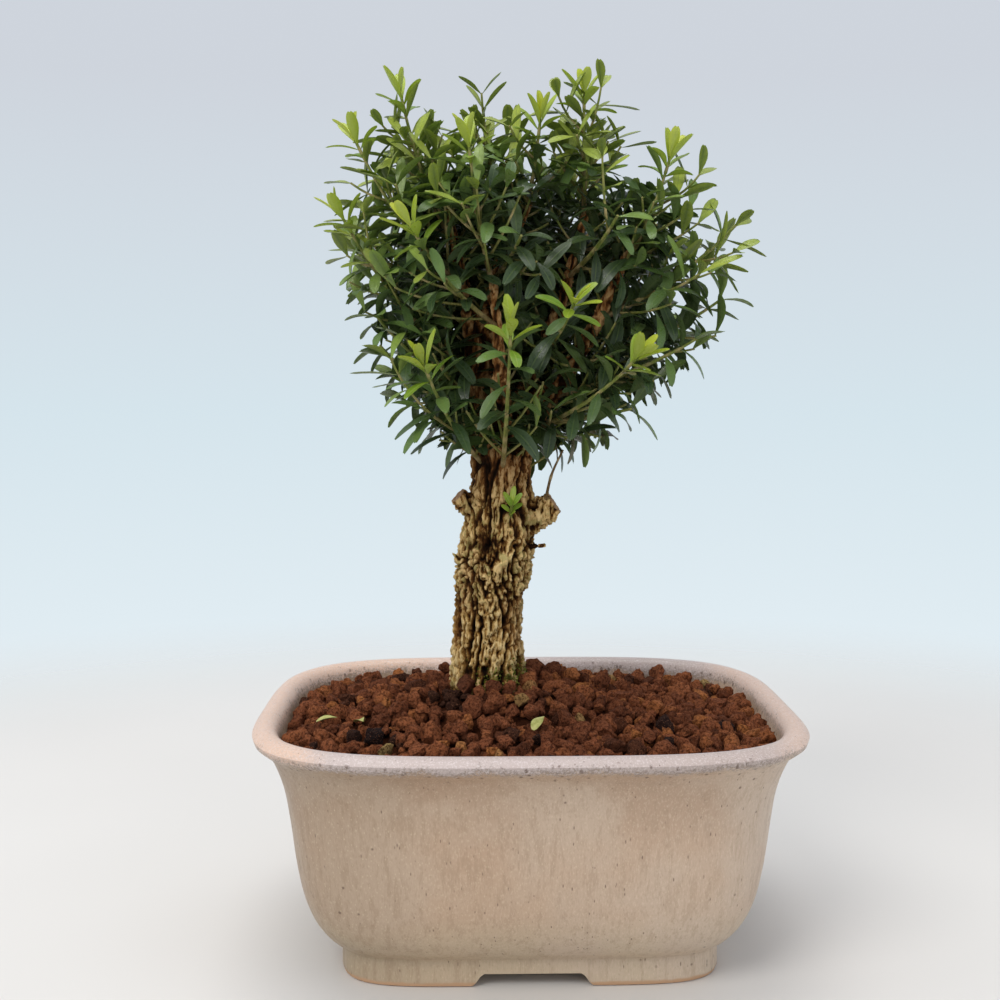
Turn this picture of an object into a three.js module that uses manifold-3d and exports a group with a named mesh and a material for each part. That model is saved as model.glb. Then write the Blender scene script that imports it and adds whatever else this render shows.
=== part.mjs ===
// Harland boxwood bonsai in a glazed, round-cornered rectangular pot.
// Millimetres, +Z up. The origin is on the ground under the middle of the pot,
// and the front of the tree faces -Y.

import * as THREE from 'three';
import { mergeVertices } from 'three/addons/utils/BufferGeometryUtils.js';
import Module from 'manifold-3d';

const wasm = await Module();
wasm.setup();

// Pot
const POT_WIDTH = 165.7;
const POT_DEPTH = 142;
const POT_HEIGHT = 74;
const POT_SEGMENTS = 36;
const RIM_SQUARENESS = 3.8;
const FOOT_SQUARENESS = 6;
const FOOT_HEIGHT = 8.4;
const FLOOR_UNDERSIDE = 4;
const FLOOR_TOP = 10;
const FOOT_INSET = 26;
const FOOT_LAND = 9.5;
const FRONT_NOTCH_WIDTH = 36;
const SIDE_NOTCH_WIDTH = 24;
const NOTCH_SHOULDER = 4;
const DRAIN_HOLE_RADIUS = 6.5;
const DRAIN_HOLE_X = 27;

// Outside of the pot as [height, distance in from the widest outline], foot to lip
const OUTER_PROFILE = [
  [FOOT_HEIGHT, FOOT_INSET - 0.2],
  [11, 22.3],
  [16, 18.4],
  [23, 15.3],
  [33, 12.9],
  [46, 10.9],
  [56, 9],
  [63, 6.6],
  [66.8, 4.6],
  [69, 2],
  [71.2, 0],
  [73, 1.2],
  [POT_HEIGHT, 4],
  [72.6, 6.6],
];

// Inside of the pot, from under the lip down to the floor
const INNER_PROFILE = [
  [67, 8.6],
  [56, 13.6],
  [34, 18],
  [18, 22.6],
  [FLOOR_TOP, 31],
];

// Soil
const CLEARANCE = 0.3;
const SOIL_EDGE_HEIGHT = 68.5;
const MOUND_HEIGHT = 13;
const MOUND_REACH = 34;
const GRAIN_PITCH = 5.5;
const GRAIN_RELIEF = 2.4;
const GRAIN_SHIFT = 1.1;

// Drain screens
const SCREEN_SIDE = 22;
const SCREEN_THICKNESS = 1.2;
const SCREEN_MESH = 4;
const SCREEN_ROWS = 3;

// Trunk, as [x, y, z, radius] up its middle, root crown first
const TRUNK = [
  [-12.4, 0.5, 46, 5],
  [-12.4, 0.5, 58, 10],
  [-12.4, 0, 72, 12.6],
  [-12.2, 0, 85, 10.8],
  [-13, 0, 97, 10],
  [-12.3, 0, 106, 10.5],
  [-10.7, 0, 115, 11.7],
  [-9.3, 0, 125, 11.5],
  [-8.5, 0, 134, 11],
  [-8.1, 0, 143, 9.6],
  [-8.1, 0, 151, 9.2],
  [-8.1, 0, 158, 7.4],
];
const TRUNK_SIDES = 18;
const TRUNK_ROWS = 23;
const BARK_RELIEF = 0.13;
const HOLE_POINTS = 5;
const HOLE_SIDES = 14;
const HOLE_ROWS = 7;

// Limbs, each a hand-placed run of points out of the top of the trunk
const LIMBS = {
  left: [[-11, 0, 138], [-14, -1, 162], [-17.5, -2, 192], [-25, -3, 228]],
  middle: [[-8, 1, 140], [-12, 0, 170], [-11, 1, 202], [1, 2, 230]],
  right: [[-5, 0, 138], [-3, 2, 162], [9, 2, 194], [18, 1, 226]],
  farRight: [[-4, -1, 136], [0, -4, 159], [17, -6, 185], [31, -8, 215]],
  backLeft: [[-12, 3, 138], [-14, 6, 160], [-21, 18, 190], [-27, 25, 216]],
  backRight: [[-6, 3, 138], [-4, 7, 160], [7, 21, 190], [13, 29, 218]],
  back: [[-9, 4, 140], [-9, 9, 164], [-8, 18, 196], [-10, 20, 226]],
  front: [[-8, -3, 138], [-8, -7, 158], [-9, -13, 180], [-11, -17, 204]],
};
const LIMB_RADIUS = 4.3;
const LIMB_TIP_RADIUS = 1.3;
const LIMB_SIDES = 6;
const LIMB_ROWS = 5;

// Sawn stubs and broken spikes on the trunk: [start, end, start radius, end radius]
const STUBS = [
  [[-13, -1, 131], [-22, -4, 139.5], 4.2, 3.1],
  [[-3, -1, 129], [8.8, -3, 137], 5, 4],
  [[-18, -4, 116], [-23.4, -6.5, 121.5], 1.3, 0.4],
  [[-1, -4, 122.6], [5.6, -6, 123.8], 0.9, 0.7],
];
const STUB_SIDES = 7;

// Leafy shoots: limb, how far out along it, where the tip stands, and whether the tip is new growth
const SHOOTS = [
  ['left', 0.85, [-37.5, -2, 256], true],
  ['left', 0.72, [-50, -7, 242], true],
  ['left', 0.42, [-53.5, -13, 219], true],
  ['left', 0.34, [-46, -12, 194], false],
  ['left', 0.2, [-32, -12, 166], false],
  ['left', 0.1, [-29.5, -31, 175], true],
  ['front', 0.1, [-6.5, -37, 184], true],
  ['front', 0.8, [-32, -27, 214], true],
  ['front', 0.97, [-17.5, -24, 238], true],
  ['farRight', 0.26, [27.5, -31, 178], true],
  ['farRight', 0.4, [50, -16, 187], false],
  ['farRight', 0.72, [62, -13, 221], false],
  ['farRight', 0.52, [61, 4, 200], false],
  ['farRight', 0.88, [40.5, -13, 236], true],
  ['farRight', 0.3, [31, -14, 166], false],
  ['right', 0.5, [11, -32, 194], true],
  ['right', 0.78, [25, -26, 222], false],
  ['right', 0.98, [17, -3, 256], true],
  ['right', 0.86, [46, 8, 226], false],
  ['middle', 0.96, [3, -6, 248], true],
  ['middle', 0.72, [-3, -28, 216], false],
  ['back', 0.97, [-13.5, 12, 260], false],
  ['back', 0.8, [-7, 38, 243], false],
  ['back', 0.55, [-9, 46, 214], false],
  ['back', 0.3, [-12, 40, 184], false],
  ['backLeft', 0.96, [-34, 26, 248], false],
  ['backLeft', 0.7, [-54, 20, 226], false],
  ['backLeft', 0.55, [-40, 41, 210], false],
  ['backLeft', 0.3, [-47, 22, 186], false],
  ['backRight', 0.96, [16, 33, 250], false],
  ['backRight', 0.75, [40, 34, 228], false],
  ['backRight', 0.6, [18, 50, 208], false],
  ['backRight', 0.42, [50, 27, 200], false],
  ['backRight', 0.22, [29, 34, 172], false],
];
const TWIG_RADIUS = 0.85;
const TWIG_TIP_RADIUS = 0.6;
const TWIG_SIDES = 4;
const TWIG_ROWS = 4;
const BARE_LENGTH = 7;
const PAIR_SPACING = 7.6;
const MAX_PAIRS = 5;

// Leaves
const LEAF_LENGTH = 11;
const LEAF_WIDTH = 3.6;
const LEAF_THICKNESS = 0.8;
const LEAF_ARCH = 0.16;
const LEAF_ROOT = 0.2;
const LEAF_ANGLE = 62;
const TIP_LEAF_ANGLE = 42;
const LEAF_GAP = 0.5;

// New growth at a shoot's tip
const TUFT_STEM = 4;
const TUFT_PAIRS = [[1.4, 46, 0.8], [3, 28, 1]];
const TUFT_LEAF_LENGTH = 10.5;

// Sprout on the trunk, dead twig, and fallen leaves as [x, y, turn in degrees, length]
const SPROUT = { root: [-5.6, -9.5, 132.5], tip: [-5.2, -14.6, 137], leafLength: 6 };
const BARE_TWIG = [[5.4, -5.6, 137.5], [7.2, -8.6, 146], [10.4, -11.4, 153.5]];
const BARE_TWIG_RADIUS = 0.55;
const FALLEN_LEAVES = [[-51, -24, 20, 8], [-62, -14, 80, 7], [2, -33, 155, 9]];

const UP = new THREE.Vector3(0, 0, 1);

const MATERIALS = {
  glaze: { color: 0xa79c90, roughness: 0.35, metalness: 0 },
  soil: { color: 0x5a2e20, roughness: 1, metalness: 0 },
  bark: { color: 0x9a7a48, roughness: 0.95, metalness: 0 },
  deadwood: { color: 0x6f5236, roughness: 0.9, metalness: 0 },
  leaf: { color: 0x2c4a1e, roughness: 0.4, metalness: 0 },
  youngLeaf: { color: 0x9fbf2e, roughness: 0.45, metalness: 0 },
  fallenLeaf: { color: 0xa9b070, roughness: 0.7, metalness: 0 },
  screen: { color: 0x1d1d1f, roughness: 0.7, metalness: 0 },
};

// A repeatable stream of numbers from 0 to 1.
function seededRandom(seed) {
  let state = seed >>> 0;
  return () => {
    state = (state + 0x6d2b79f5) >>> 0;
    let mixed = Math.imul(state ^ (state >>> 15), state | 1);
    mixed ^= mixed + Math.imul(mixed ^ (mixed >>> 7), mixed | 61);
    return ((mixed ^ (mixed >>> 14)) >>> 0) / 4294967296;
  };
}

function vector(list) {
  return new THREE.Vector3(list[0], list[1], list[2]);
}

// A closed geometry as a solid, with shared corners merged and collapsed triangles left out.
function toSolid(geometry) {
  const bare = geometry.clone();
  bare.deleteAttribute('normal');
  bare.deleteAttribute('uv');
  const merged = mergeVertices(bare, 1e-4);
  const kept = [];
  const index = merged.index.array;
  for (let i = 0; i < index.length; i += 3) {
    const [a, b, c] = [index[i], index[i + 1], index[i + 2]];
    if (a !== b && b !== c && c !== a) kept.push(a, b, c);
  }
  return new wasm.Manifold(new wasm.Mesh({
    numProp: 3,
    vertProperties: Float32Array.from(merged.attributes.position.array),
    triVerts: Uint32Array.from(kept),
  }));
}

function toGeometry(solid) {
  const mesh = solid.getMesh();
  const geometry = new THREE.BufferGeometry();
  geometry.setAttribute('position', new THREE.BufferAttribute(mesh.vertProperties, 3));
  geometry.setIndex(new THREE.BufferAttribute(mesh.triVerts, 1));
  geometry.computeVertexNormals();
  return geometry;
}

function movePoints(geometry, move) {
  const position = geometry.attributes.position;
  const point = new THREE.Vector3();
  for (let i = 0; i < position.count; i += 1) {
    point.fromBufferAttribute(position, i);
    move(point);
    position.setXYZ(i, point.x, point.y, point.z);
  }
  return geometry;
}

// Turns a round plan into the pot's rounded rectangle. A point's radius is its half-width there.
function squareOff(point) {
  const radius = Math.hypot(point.x, point.y);
  if (radius < 1e-6) return;
  const rise = THREE.MathUtils.clamp((point.z - FOOT_HEIGHT) / (POT_HEIGHT - FOOT_HEIGHT), 0, 1);
  const power = 2 / THREE.MathUtils.lerp(FOOT_SQUARENESS, RIM_SQUARENESS, Math.sqrt(rise));
  const narrower = ((POT_WIDTH - POT_DEPTH) / 2) * Math.min(1, radius / 45);
  const bulge = (part) => (Math.abs(part) < 1e-6 ? 0 : Math.sign(part) * Math.abs(part) ** power);
  const { x, y } = point;
  point.x = radius * bulge(x / radius);
  point.y = (radius - narrower) * bulge(y / radius);
}

// A lathe turned about Z from [height, half-width] points, then squared off.
function squareLathe(profile) {
  const points = profile.map(([height, halfWidth]) => new THREE.Vector2(halfWidth, height));
  const lathe = new THREE.LatheGeometry(points, POT_SEGMENTS);
  lathe.rotateX(Math.PI / 2);
  return movePoints(lathe, squareOff);
}

function potProfile(insets, extra = 0) {
  return insets.map(([height, inset]) => [height, POT_WIDTH / 2 - inset - extra]);
}

// A trapezoid channel through the foot, wider at the ground, cut along +-Y before it is turned.
function footNotch(width) {
  const top = FLOOR_UNDERSIDE;
  const outline = new THREE.Shape();
  outline.moveTo(-width / 2, -1);
  outline.lineTo(width / 2, -1);
  outline.lineTo(width / 2, 0.2);
  outline.lineTo(width / 2 - NOTCH_SHOULDER, top);
  outline.lineTo(-width / 2 + NOTCH_SHOULDER, top);
  outline.lineTo(-width / 2, 0.2);
  const channel = new THREE.ExtrudeGeometry(outline, { depth: POT_WIDTH, bevelEnabled: false });
  channel.rotateX(Math.PI / 2);
  channel.translate(0, POT_WIDTH / 2, 0);
  return channel;
}

function buildPot() {
  const footHalfWidth = POT_WIDTH / 2 - FOOT_INSET;
  const profile = [
    [FLOOR_UNDERSIDE, 0],
    [FLOOR_UNDERSIDE, footHalfWidth - FOOT_LAND],
    [0, footHalfWidth - FOOT_LAND + 0.6],
    [0, footHalfWidth - 1],
    [1, footHalfWidth],
    ...potProfile(OUTER_PROFILE),
    ...potProfile(INNER_PROFILE),
    [FLOOR_TOP, 0],
  ];
  let pot = toSolid(squareLathe(profile));
  pot = pot.subtract(toSolid(footNotch(FRONT_NOTCH_WIDTH)));
  pot = pot.subtract(toSolid(footNotch(SIDE_NOTCH_WIDTH).rotateZ(Math.PI / 2)));
  for (const x of [-DRAIN_HOLE_X, DRAIN_HOLE_X]) {
    const hole = new THREE.CylinderGeometry(DRAIN_HOLE_RADIUS, DRAIN_HOLE_RADIUS, 20, 20);
    hole.rotateX(Math.PI / 2);
    hole.translate(x, 0, FLOOR_TOP / 2);
    pot = pot.subtract(toSolid(hole));
  }
  return pot;
}

// A square drain screen on the pot's floor, with rows of square meshes through it.
function buildScreen(x) {
  const plate = new THREE.BoxGeometry(SCREEN_SIDE, SCREEN_SIDE, SCREEN_THICKNESS);
  let screen = toSolid(plate);
  const pitch = SCREEN_SIDE / (SCREEN_ROWS + 0.5);
  const first = (-(SCREEN_ROWS - 1) / 2) * pitch;
  for (let row = 0; row < SCREEN_ROWS; row += 1) {
    for (let column = 0; column < SCREEN_ROWS; column += 1) {
      const mesh = new THREE.BoxGeometry(SCREEN_MESH, SCREEN_MESH, 2 * SCREEN_THICKNESS);
      mesh.translate(first + column * pitch, first + row * pitch, 0);
      screen = screen.subtract(toSolid(mesh));
    }
  }
  return screen.translate([x, 0, FLOOR_TOP + CLEARANCE + SCREEN_THICKNESS / 2]);
}

// A steady draw for a grid place, so that a grain keeps its height wherever it is asked for.
function grainDraw(column, row, salt) {
  return seededRandom((column + 500) * 7919 + (row + 500) * 104729 + salt)();
}

function soilSurface(x, y) {
  const spread = Math.hypot(x - TRUNK[3][0], y - TRUNK[3][1]) / MOUND_REACH;
  return SOIL_EDGE_HEIGHT + MOUND_HEIGHT * Math.exp(-spread * spread);
}

// Moves a grid corner of the soil's top to its lump or to the dip beside it.
function raiseGrain(point) {
  const column = Math.round(point.x / GRAIN_PITCH);
  const row = Math.round(point.y / GRAIN_PITCH);
  const lump = (column + row) % 2 === 0 ? 0.5 : -0.5;
  const draw = grainDraw(column, row, 1) - 0.5;
  point.z = soilSurface(point.x, point.y) + GRAIN_RELIEF * (lump * 0.7 + draw * 0.6);
  point.x += GRAIN_SHIFT * (grainDraw(column, row, 2) * 2 - 1);
  point.y += GRAIN_SHIFT * (grainDraw(column, row, 3) * 2 - 1);
}

// The plain hole that the root crown stands in, wide enough for the ridges of its bark.
function rootHole() {
  const stations = TRUNK.slice(0, HOLE_POINTS).map(([x, y, height, radius], step) => (
    [x, y, step === 0 ? height - CLEARANCE : height, radius]
  ));
  const curve = curveThrough(stations);
  const girth = trunkGirth(stations);
  const widen = (1 + BARK_RELIEF * 1.2) / Math.cos(Math.PI / HOLE_SIDES);
  return toSolid(tubeAlong(curve, HOLE_SIDES, HOLE_ROWS, (along) => (
    girth.getPoint(along).x * widen + CLEARANCE
  )));
}

function buildSoil(screens) {
  const columns = 2 * Math.ceil(POT_WIDTH / 2 / GRAIN_PITCH);
  const rows = 2 * Math.ceil(POT_DEPTH / 2 / GRAIN_PITCH);
  const block = new THREE.BoxGeometry(
    columns * GRAIN_PITCH, rows * GRAIN_PITCH, 2, columns, rows, 1,
  );
  movePoints(block, (point) => {
    if (point.z < 0) point.z = 0;
    else raiseGrain(point);
  });
  const lip = POT_WIDTH / 2 - OUTER_PROFILE.at(-1)[1] - CLEARANCE;
  const inside = squareLathe([
    [FLOOR_TOP + CLEARANCE, 0],
    ...potProfile(INNER_PROFILE, CLEARANCE).reverse().map(([height, halfWidth], step) => (
      step === 0 ? [height + CLEARANCE, halfWidth] : [height, halfWidth]
    )),
    [POT_HEIGHT, lip],
    [POT_HEIGHT + 20, lip],
    [POT_HEIGHT + 20, 0],
  ]);
  let soil = toSolid(block).intersect(toSolid(inside)).subtract(rootHole());
  for (const x of screens) {
    const side = SCREEN_SIDE + 2 * CLEARANCE;
    const seat = new THREE.BoxGeometry(side, side, 2 * (SCREEN_THICKNESS + 2 * CLEARANCE));
    seat.translate(x, 0, FLOOR_TOP);
    soil = soil.subtract(toSolid(seat));
  }
  return soil;
}

// A tube about a curve: a cylinder whose rows follow it, with radius by distance and angle.
function tubeAlong(curve, sides, rows, radiusAt) {
  const frames = curve.computeFrenetFrames(rows, false);
  const tube = new THREE.CylinderGeometry(1, 1, 1, sides, rows);
  return movePoints(tube, (point) => {
    const along = point.y + 0.5;
    const row = Math.round(along * rows);
    const angle = Math.atan2(point.z, point.x);
    const reach = Math.hypot(point.x, point.z) * radiusAt(row / rows, angle);
    point.copy(curve.getPointAt(row / rows));
    point.addScaledVector(frames.normals[row], reach * Math.cos(angle));
    point.addScaledVector(frames.binormals[row], -reach * Math.sin(angle));
  });
}

function curveThrough(points) {
  return new THREE.CatmullRomCurve3(points.map(vector), false, 'centripetal');
}

function taperTube(points, sides, rows, radius, tipRadius, extra = 0) {
  const radiusAt = (along) => THREE.MathUtils.lerp(radius, tipRadius, along) + extra;
  return toSolid(tubeAlong(curveThrough(points), sides, rows, radiusAt));
}

function trunkGirth(stations) {
  return new THREE.CatmullRomCurve3(
    stations.map(([, , height, radius]) => new THREE.Vector3(radius, 0, height)),
  );
}

// The trunk up to where the limbs part, with upright corky ridges that wander and break up.
function trunkStem(extra) {
  const middle = curveThrough(TRUNK);
  const girth = trunkGirth(TRUNK);
  const ridge = Math.PI * 2 / TRUNK_SIDES;
  return toSolid(tubeAlong(middle, TRUNK_SIDES, TRUNK_ROWS, (along, angle) => {
    const side = Math.round(angle / ridge);
    const row = Math.round(along * TRUNK_ROWS);
    const groove = side % 2 === 0 ? 1 : -1;
    const crag = grainDraw((side + TRUNK_SIDES) % TRUNK_SIDES, row, 9) - 0.5;
    const relief = along > 0.97 || along < 0.2 ? 0 : BARK_RELIEF * (groove * 0.7 + crag);
    return girth.getPoint(along).x * (1 + relief) + extra;
  }));
}

function buildLimbs(extra) {
  return Object.values(LIMBS).map((points) => (
    taperTube(points, LIMB_SIDES, LIMB_ROWS, LIMB_RADIUS, LIMB_TIP_RADIUS, extra)
  ));
}

function buildTrunk(extra = 0) {
  const stubs = STUBS.map(([start, end, radius, tipRadius]) => (
    taperTube([start, end], STUB_SIDES, 1, radius, tipRadius, extra)
  ));
  return wasm.Manifold.union([trunkStem(extra), ...stubs, ...buildLimbs(extra)]);
}

// A blade along +Y with its upper face towards +Z: widest past the middle, keeled below, arched.
function bladeGeometry(length, width, thickness) {
  const blade = new THREE.SphereGeometry(1, 3, 3);
  return movePoints(blade, (point) => {
    const along = (1 - point.y) / 2;
    const across = point.z / 0.75;
    const girth = Math.sin(Math.PI * along ** 1.25);
    const keel = point.x < -0.1 ? -thickness : 0;
    point.set(
      (across * width * 0.5 * girth) / Math.sin(Math.PI * 0.75 ** 1.25) * 0.96,
      length * along,
      keel - LEAF_ARCH * length * along * along,
    );
  });
}

// Sets a blade at a place on a stem: outward is away from the stem, and angle is from its axis.
function placeBlade(blade, place, stem, outward, angle) {
  const lean = THREE.MathUtils.degToRad(angle);
  const axis = outward.clone().multiplyScalar(Math.sin(lean)).addScaledVector(stem, Math.cos(lean));
  const face = stem.clone().multiplyScalar(Math.sin(lean)).addScaledVector(outward, -Math.cos(lean));
  const across = new THREE.Vector3().crossVectors(axis, face);
  const root = place.clone().addScaledVector(axis, -LEAF_ROOT);
  blade.applyMatrix4(new THREE.Matrix4().makeBasis(across, axis, face).setPosition(root));
  return toSolid(blade);
}

// Everything that new leaves have to stay clear of: { owner, solid, box }.
const placed = [];

function boxOf(solid) {
  const { min, max } = solid.boundingBox();
  return new THREE.Box3(vector(min), vector(max));
}

function remember(owner, solid) {
  placed.push({ owner, solid, box: boxOf(solid) });
}

function isClear(owner, solid, mate) {
  const box = boxOf(solid);
  return placed.every((other) => (
    other.owner === mate || !box.intersectsBox(other.box) || solid.intersect(other.solid).isEmpty()
    || (other.owner === owner && other.isTwig)
  ));
}

// Tries a leaf as drawn and then turned or leaned a little, and leaves it out if none is clear.
function growLeaf(owner, pair, place, stem, outward, angle, size) {
  const tries = [[0, 0], [22, 0], [-22, 0], [0, 14], [0, -14], [40, 8], [-40, -8], [60, 0], [-60, 0]];
  const length = LEAF_LENGTH * size;
  const width = LEAF_WIDTH * Math.sqrt(size);
  for (const [turn, lean] of tries) {
    const side = outward.clone().applyAxisAngle(stem, THREE.MathUtils.degToRad(turn));
    const fat = bladeGeometry(length + LEAF_GAP, width + LEAF_GAP, LEAF_THICKNESS + LEAF_GAP);
    if (isClear(owner, placeBlade(fat, place, stem, side, angle + lean), pair)) {
      const blade = bladeGeometry(length, width, LEAF_THICKNESS);
      const leaf = placeBlade(blade, place, stem, side, angle + lean);
      placed.push({ owner: pair, solid: leaf, box: boxOf(leaf) });
      return leaf;
    }
  }
  return null;
}

// A shoot leaves its limb sideways and turns up towards its tip.
function shootCurve([limb, along, tip]) {
  const base = curveThrough(LIMBS[limb]).getPointAt(along);
  const end = vector(tip);
  const reach = end.clone().sub(base);
  const bend = base.clone();
  bend.x += reach.x * 0.62;
  bend.y += reach.y * 0.62;
  bend.z += reach.z * 0.4;
  return new THREE.QuadraticBezierCurve3(base, bend, end);
}

function twigSolid(curve, extra) {
  const radiusAt = (along) => THREE.MathUtils.lerp(TWIG_RADIUS, TWIG_TIP_RADIUS, along) + extra;
  return toSolid(tubeAlong(curve, TWIG_SIDES, TWIG_ROWS, radiusAt));
}

// A side direction square to the stem, turned by so many degrees.
function sideways(stem, degrees) {
  const level = new THREE.Vector3().crossVectors(stem, UP).normalize();
  return level.applyAxisAngle(stem, THREE.MathUtils.degToRad(degrees));
}

// Opposite leaf pairs from the tip back, each pair a quarter turn from the next.
function growPairs(name, curve, random, isNew) {
  const leaves = [];
  const length = curve.getLength();
  const pairs = Math.min(MAX_PAIRS, Math.floor((length - BARE_LENGTH) / PAIR_SPACING) + 1);
  const turn = random() * 180;
  for (let pair = 0; pair < pairs; pair += 1) {
    const distance = length - (isNew ? 2.5 : 0.8) - pair * PAIR_SPACING;
    const along = THREE.MathUtils.clamp(distance / length, 0, 1);
    const place = curve.getPointAt(along);
    const stem = curve.getTangentAt(along);
    const angle = THREE.MathUtils.lerp(TIP_LEAF_ANGLE, LEAF_ANGLE, Math.min(1, pair / 2));
    for (const half of [0, 180]) {
      const outward = sideways(stem, turn + half + 90 * pair + 24 * (random() - 0.5));
      const size = 0.86 + 0.26 * random();
      const leaf = growLeaf(name, `${name}:${pair}`, place, stem, outward, angle, size);
      if (leaf) leaves.push(leaf);
    }
  }
  return leaves;
}

// The bright tuft that stands on a shoot's tip, with its lowest face just clear of the twig.
function growTuft(name, curve, random) {
  const stem = curve.getTangentAt(1);
  const start = curve.getPointAt(1).addScaledVector(stem, CLEARANCE);
  const end = start.clone().addScaledVector(stem, TUFT_STEM);
  const stalk = new THREE.LineCurve3(start, end);
  const solids = [toSolid(tubeAlong(stalk, TWIG_SIDES, 1, () => TWIG_TIP_RADIUS))];
  const turn = random() * 180;
  TUFT_PAIRS.forEach(([height, angle, size], pair) => {
    const place = start.clone().addScaledVector(stem, height);
    for (const half of [0, 180]) {
      const outward = sideways(stem, turn + half + 90 * pair);
      const scale = (size * TUFT_LEAF_LENGTH) / LEAF_LENGTH;
      const leaf = growLeaf(name, name, place, stem, outward, angle, scale);
      if (leaf) solids.push(leaf);
    }
  });
  return wasm.Manifold.union(solids);
}

function growSprout(trunkClear) {
  const stalk = new THREE.LineCurve3(vector(SPROUT.root), vector(SPROUT.tip));
  const stem = stalk.getTangentAt(0);
  const solids = [toSolid(tubeAlong(stalk, TWIG_SIDES, 1, () => TWIG_TIP_RADIUS))];
  for (const [height, turn, angle] of [[0.7, 0, 58], [0.7, 180, 50], [0.95, 90, 30], [0.95, 270, 34]]) {
    const blade = bladeGeometry(SPROUT.leafLength, LEAF_WIDTH * 0.6, LEAF_THICKNESS);
    solids.push(placeBlade(blade, stalk.getPointAt(height), stem, sideways(stem, turn), angle));
  }
  return wasm.Manifold.union(solids).subtract(trunkClear);
}

// A loose leaf, let down level until it would touch the soil, and left just clear of it.
function fallenLeaf([x, y, turn, length], soil) {
  const blade = bladeGeometry(length, LEAF_WIDTH * 0.8, LEAF_THICKNESS);
  blade.translate(0, -length / 2, 0);
  blade.rotateZ(THREE.MathUtils.degToRad(turn));
  blade.translate(x, y, POT_HEIGHT + MOUND_HEIGHT);
  const leaf = toSolid(blade);
  let drop = 0;
  while (leaf.translate([0, 0, -drop]).intersect(soil).isEmpty()) drop += CLEARANCE / 3;
  return leaf.translate([0, 0, CLEARANCE * 1.1 - drop]);
}

function addMesh(group, name, solid, material) {
  const mesh = new THREE.Mesh(toGeometry(solid), new THREE.MeshStandardMaterial(MATERIALS[material]));
  mesh.name = name;
  group.add(mesh);
}

function numbered(name, number) {
  return `${name}_${String(number).padStart(2, '0')}`;
}

function growCrown(group, trunkClear) {
  const curves = SHOOTS.map(shootCurve);
  const twigs = curves.map((curve) => twigSolid(curve, 0).subtract(trunkClear));
  remember('trunk', trunkClear);
  SHOOTS.forEach((shoot, index) => {
    placed.push({
      owner: numbered('shoot', index + 1), isTwig: true, solid: twigs[index], box: boxOf(twigs[index]),
    });
  });
  SHOOTS.forEach((shoot, index) => {
    if (!shoot[3]) return;
    const name = numbered('new_growth', index + 1);
    const tuft = growTuft(name, curves[index], seededRandom(900 + index));
    addMesh(group, name, tuft, 'youngLeaf');
  });
  SHOOTS.forEach((shoot, index) => {
    const name = numbered('shoot', index + 1);
    const leaves = growPairs(name, curves[index], seededRandom(100 + index), shoot[3]);
    addMesh(group, name, wasm.Manifold.union([twigs[index], ...leaves]), 'leaf');
  });
}

function buildBonsai() {
  const bonsai = new THREE.Group();
  const trunk = buildTrunk();
  const trunkClear = buildTrunk(CLEARANCE);
  const screens = [-DRAIN_HOLE_X, DRAIN_HOLE_X];
  addMesh(bonsai, 'pot', buildPot(), 'glaze');
  screens.forEach((x, index) => addMesh(bonsai, `drain_screen_${index + 1}`, buildScreen(x), 'screen'));
  const soil = buildSoil(screens);
  addMesh(bonsai, 'soil', soil, 'soil');
  addMesh(bonsai, 'trunk', trunk, 'bark');
  const twig = taperTube(BARE_TWIG, TWIG_SIDES, 4, BARE_TWIG_RADIUS, BARE_TWIG_RADIUS * 0.7);
  const bareTwig = twig.subtract(trunkClear);
  remember('bare_twig', bareTwig);
  addMesh(bonsai, 'bare_twig', bareTwig, 'deadwood');
  const sprout = growSprout(trunkClear);
  remember('trunk_sprout', sprout);
  addMesh(bonsai, 'trunk_sprout', sprout, 'youngLeaf');
  growCrown(bonsai, trunkClear);
  FALLEN_LEAVES.forEach((leaf, index) => {
    addMesh(bonsai, `fallen_leaf_${index + 1}`, fallenLeaf(leaf, soil), 'fallenLeaf');
  });
  return bonsai;
}

export default buildBonsai();
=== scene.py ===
import math

import bmesh
import bpy
import numpy as np
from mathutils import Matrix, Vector, noise


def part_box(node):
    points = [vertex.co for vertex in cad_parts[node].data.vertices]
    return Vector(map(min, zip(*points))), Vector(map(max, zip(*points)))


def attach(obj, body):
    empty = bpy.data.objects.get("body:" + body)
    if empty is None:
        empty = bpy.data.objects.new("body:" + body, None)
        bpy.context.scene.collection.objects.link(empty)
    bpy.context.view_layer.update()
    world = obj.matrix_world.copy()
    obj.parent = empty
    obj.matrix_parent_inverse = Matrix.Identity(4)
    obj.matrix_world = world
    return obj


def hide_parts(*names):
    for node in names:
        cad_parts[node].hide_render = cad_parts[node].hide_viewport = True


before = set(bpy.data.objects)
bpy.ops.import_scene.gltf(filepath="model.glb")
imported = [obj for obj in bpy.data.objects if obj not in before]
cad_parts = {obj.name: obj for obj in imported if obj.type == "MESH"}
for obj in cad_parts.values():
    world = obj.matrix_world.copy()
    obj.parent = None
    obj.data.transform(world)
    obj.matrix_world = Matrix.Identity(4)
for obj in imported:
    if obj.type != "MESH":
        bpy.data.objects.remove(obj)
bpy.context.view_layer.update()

# The dressed bonsai. Lengths are in millimetres, and MM scales them to metres where a mesh is made.
MM = 0.001

# Camera and light
CAMERA_PLACE = (-18.1, -427.5, 173.4)
CAMERA_PITCH = 0.0842
CAMERA_TURN = -0.0225
CAMERA_LENS = 49.4
SENSOR_WIDTH = 36
NEAREST_SEEN = 10
FLOOR_REACH = 3000
FLOOR_FADE = (260.0, 620.0)
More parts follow.
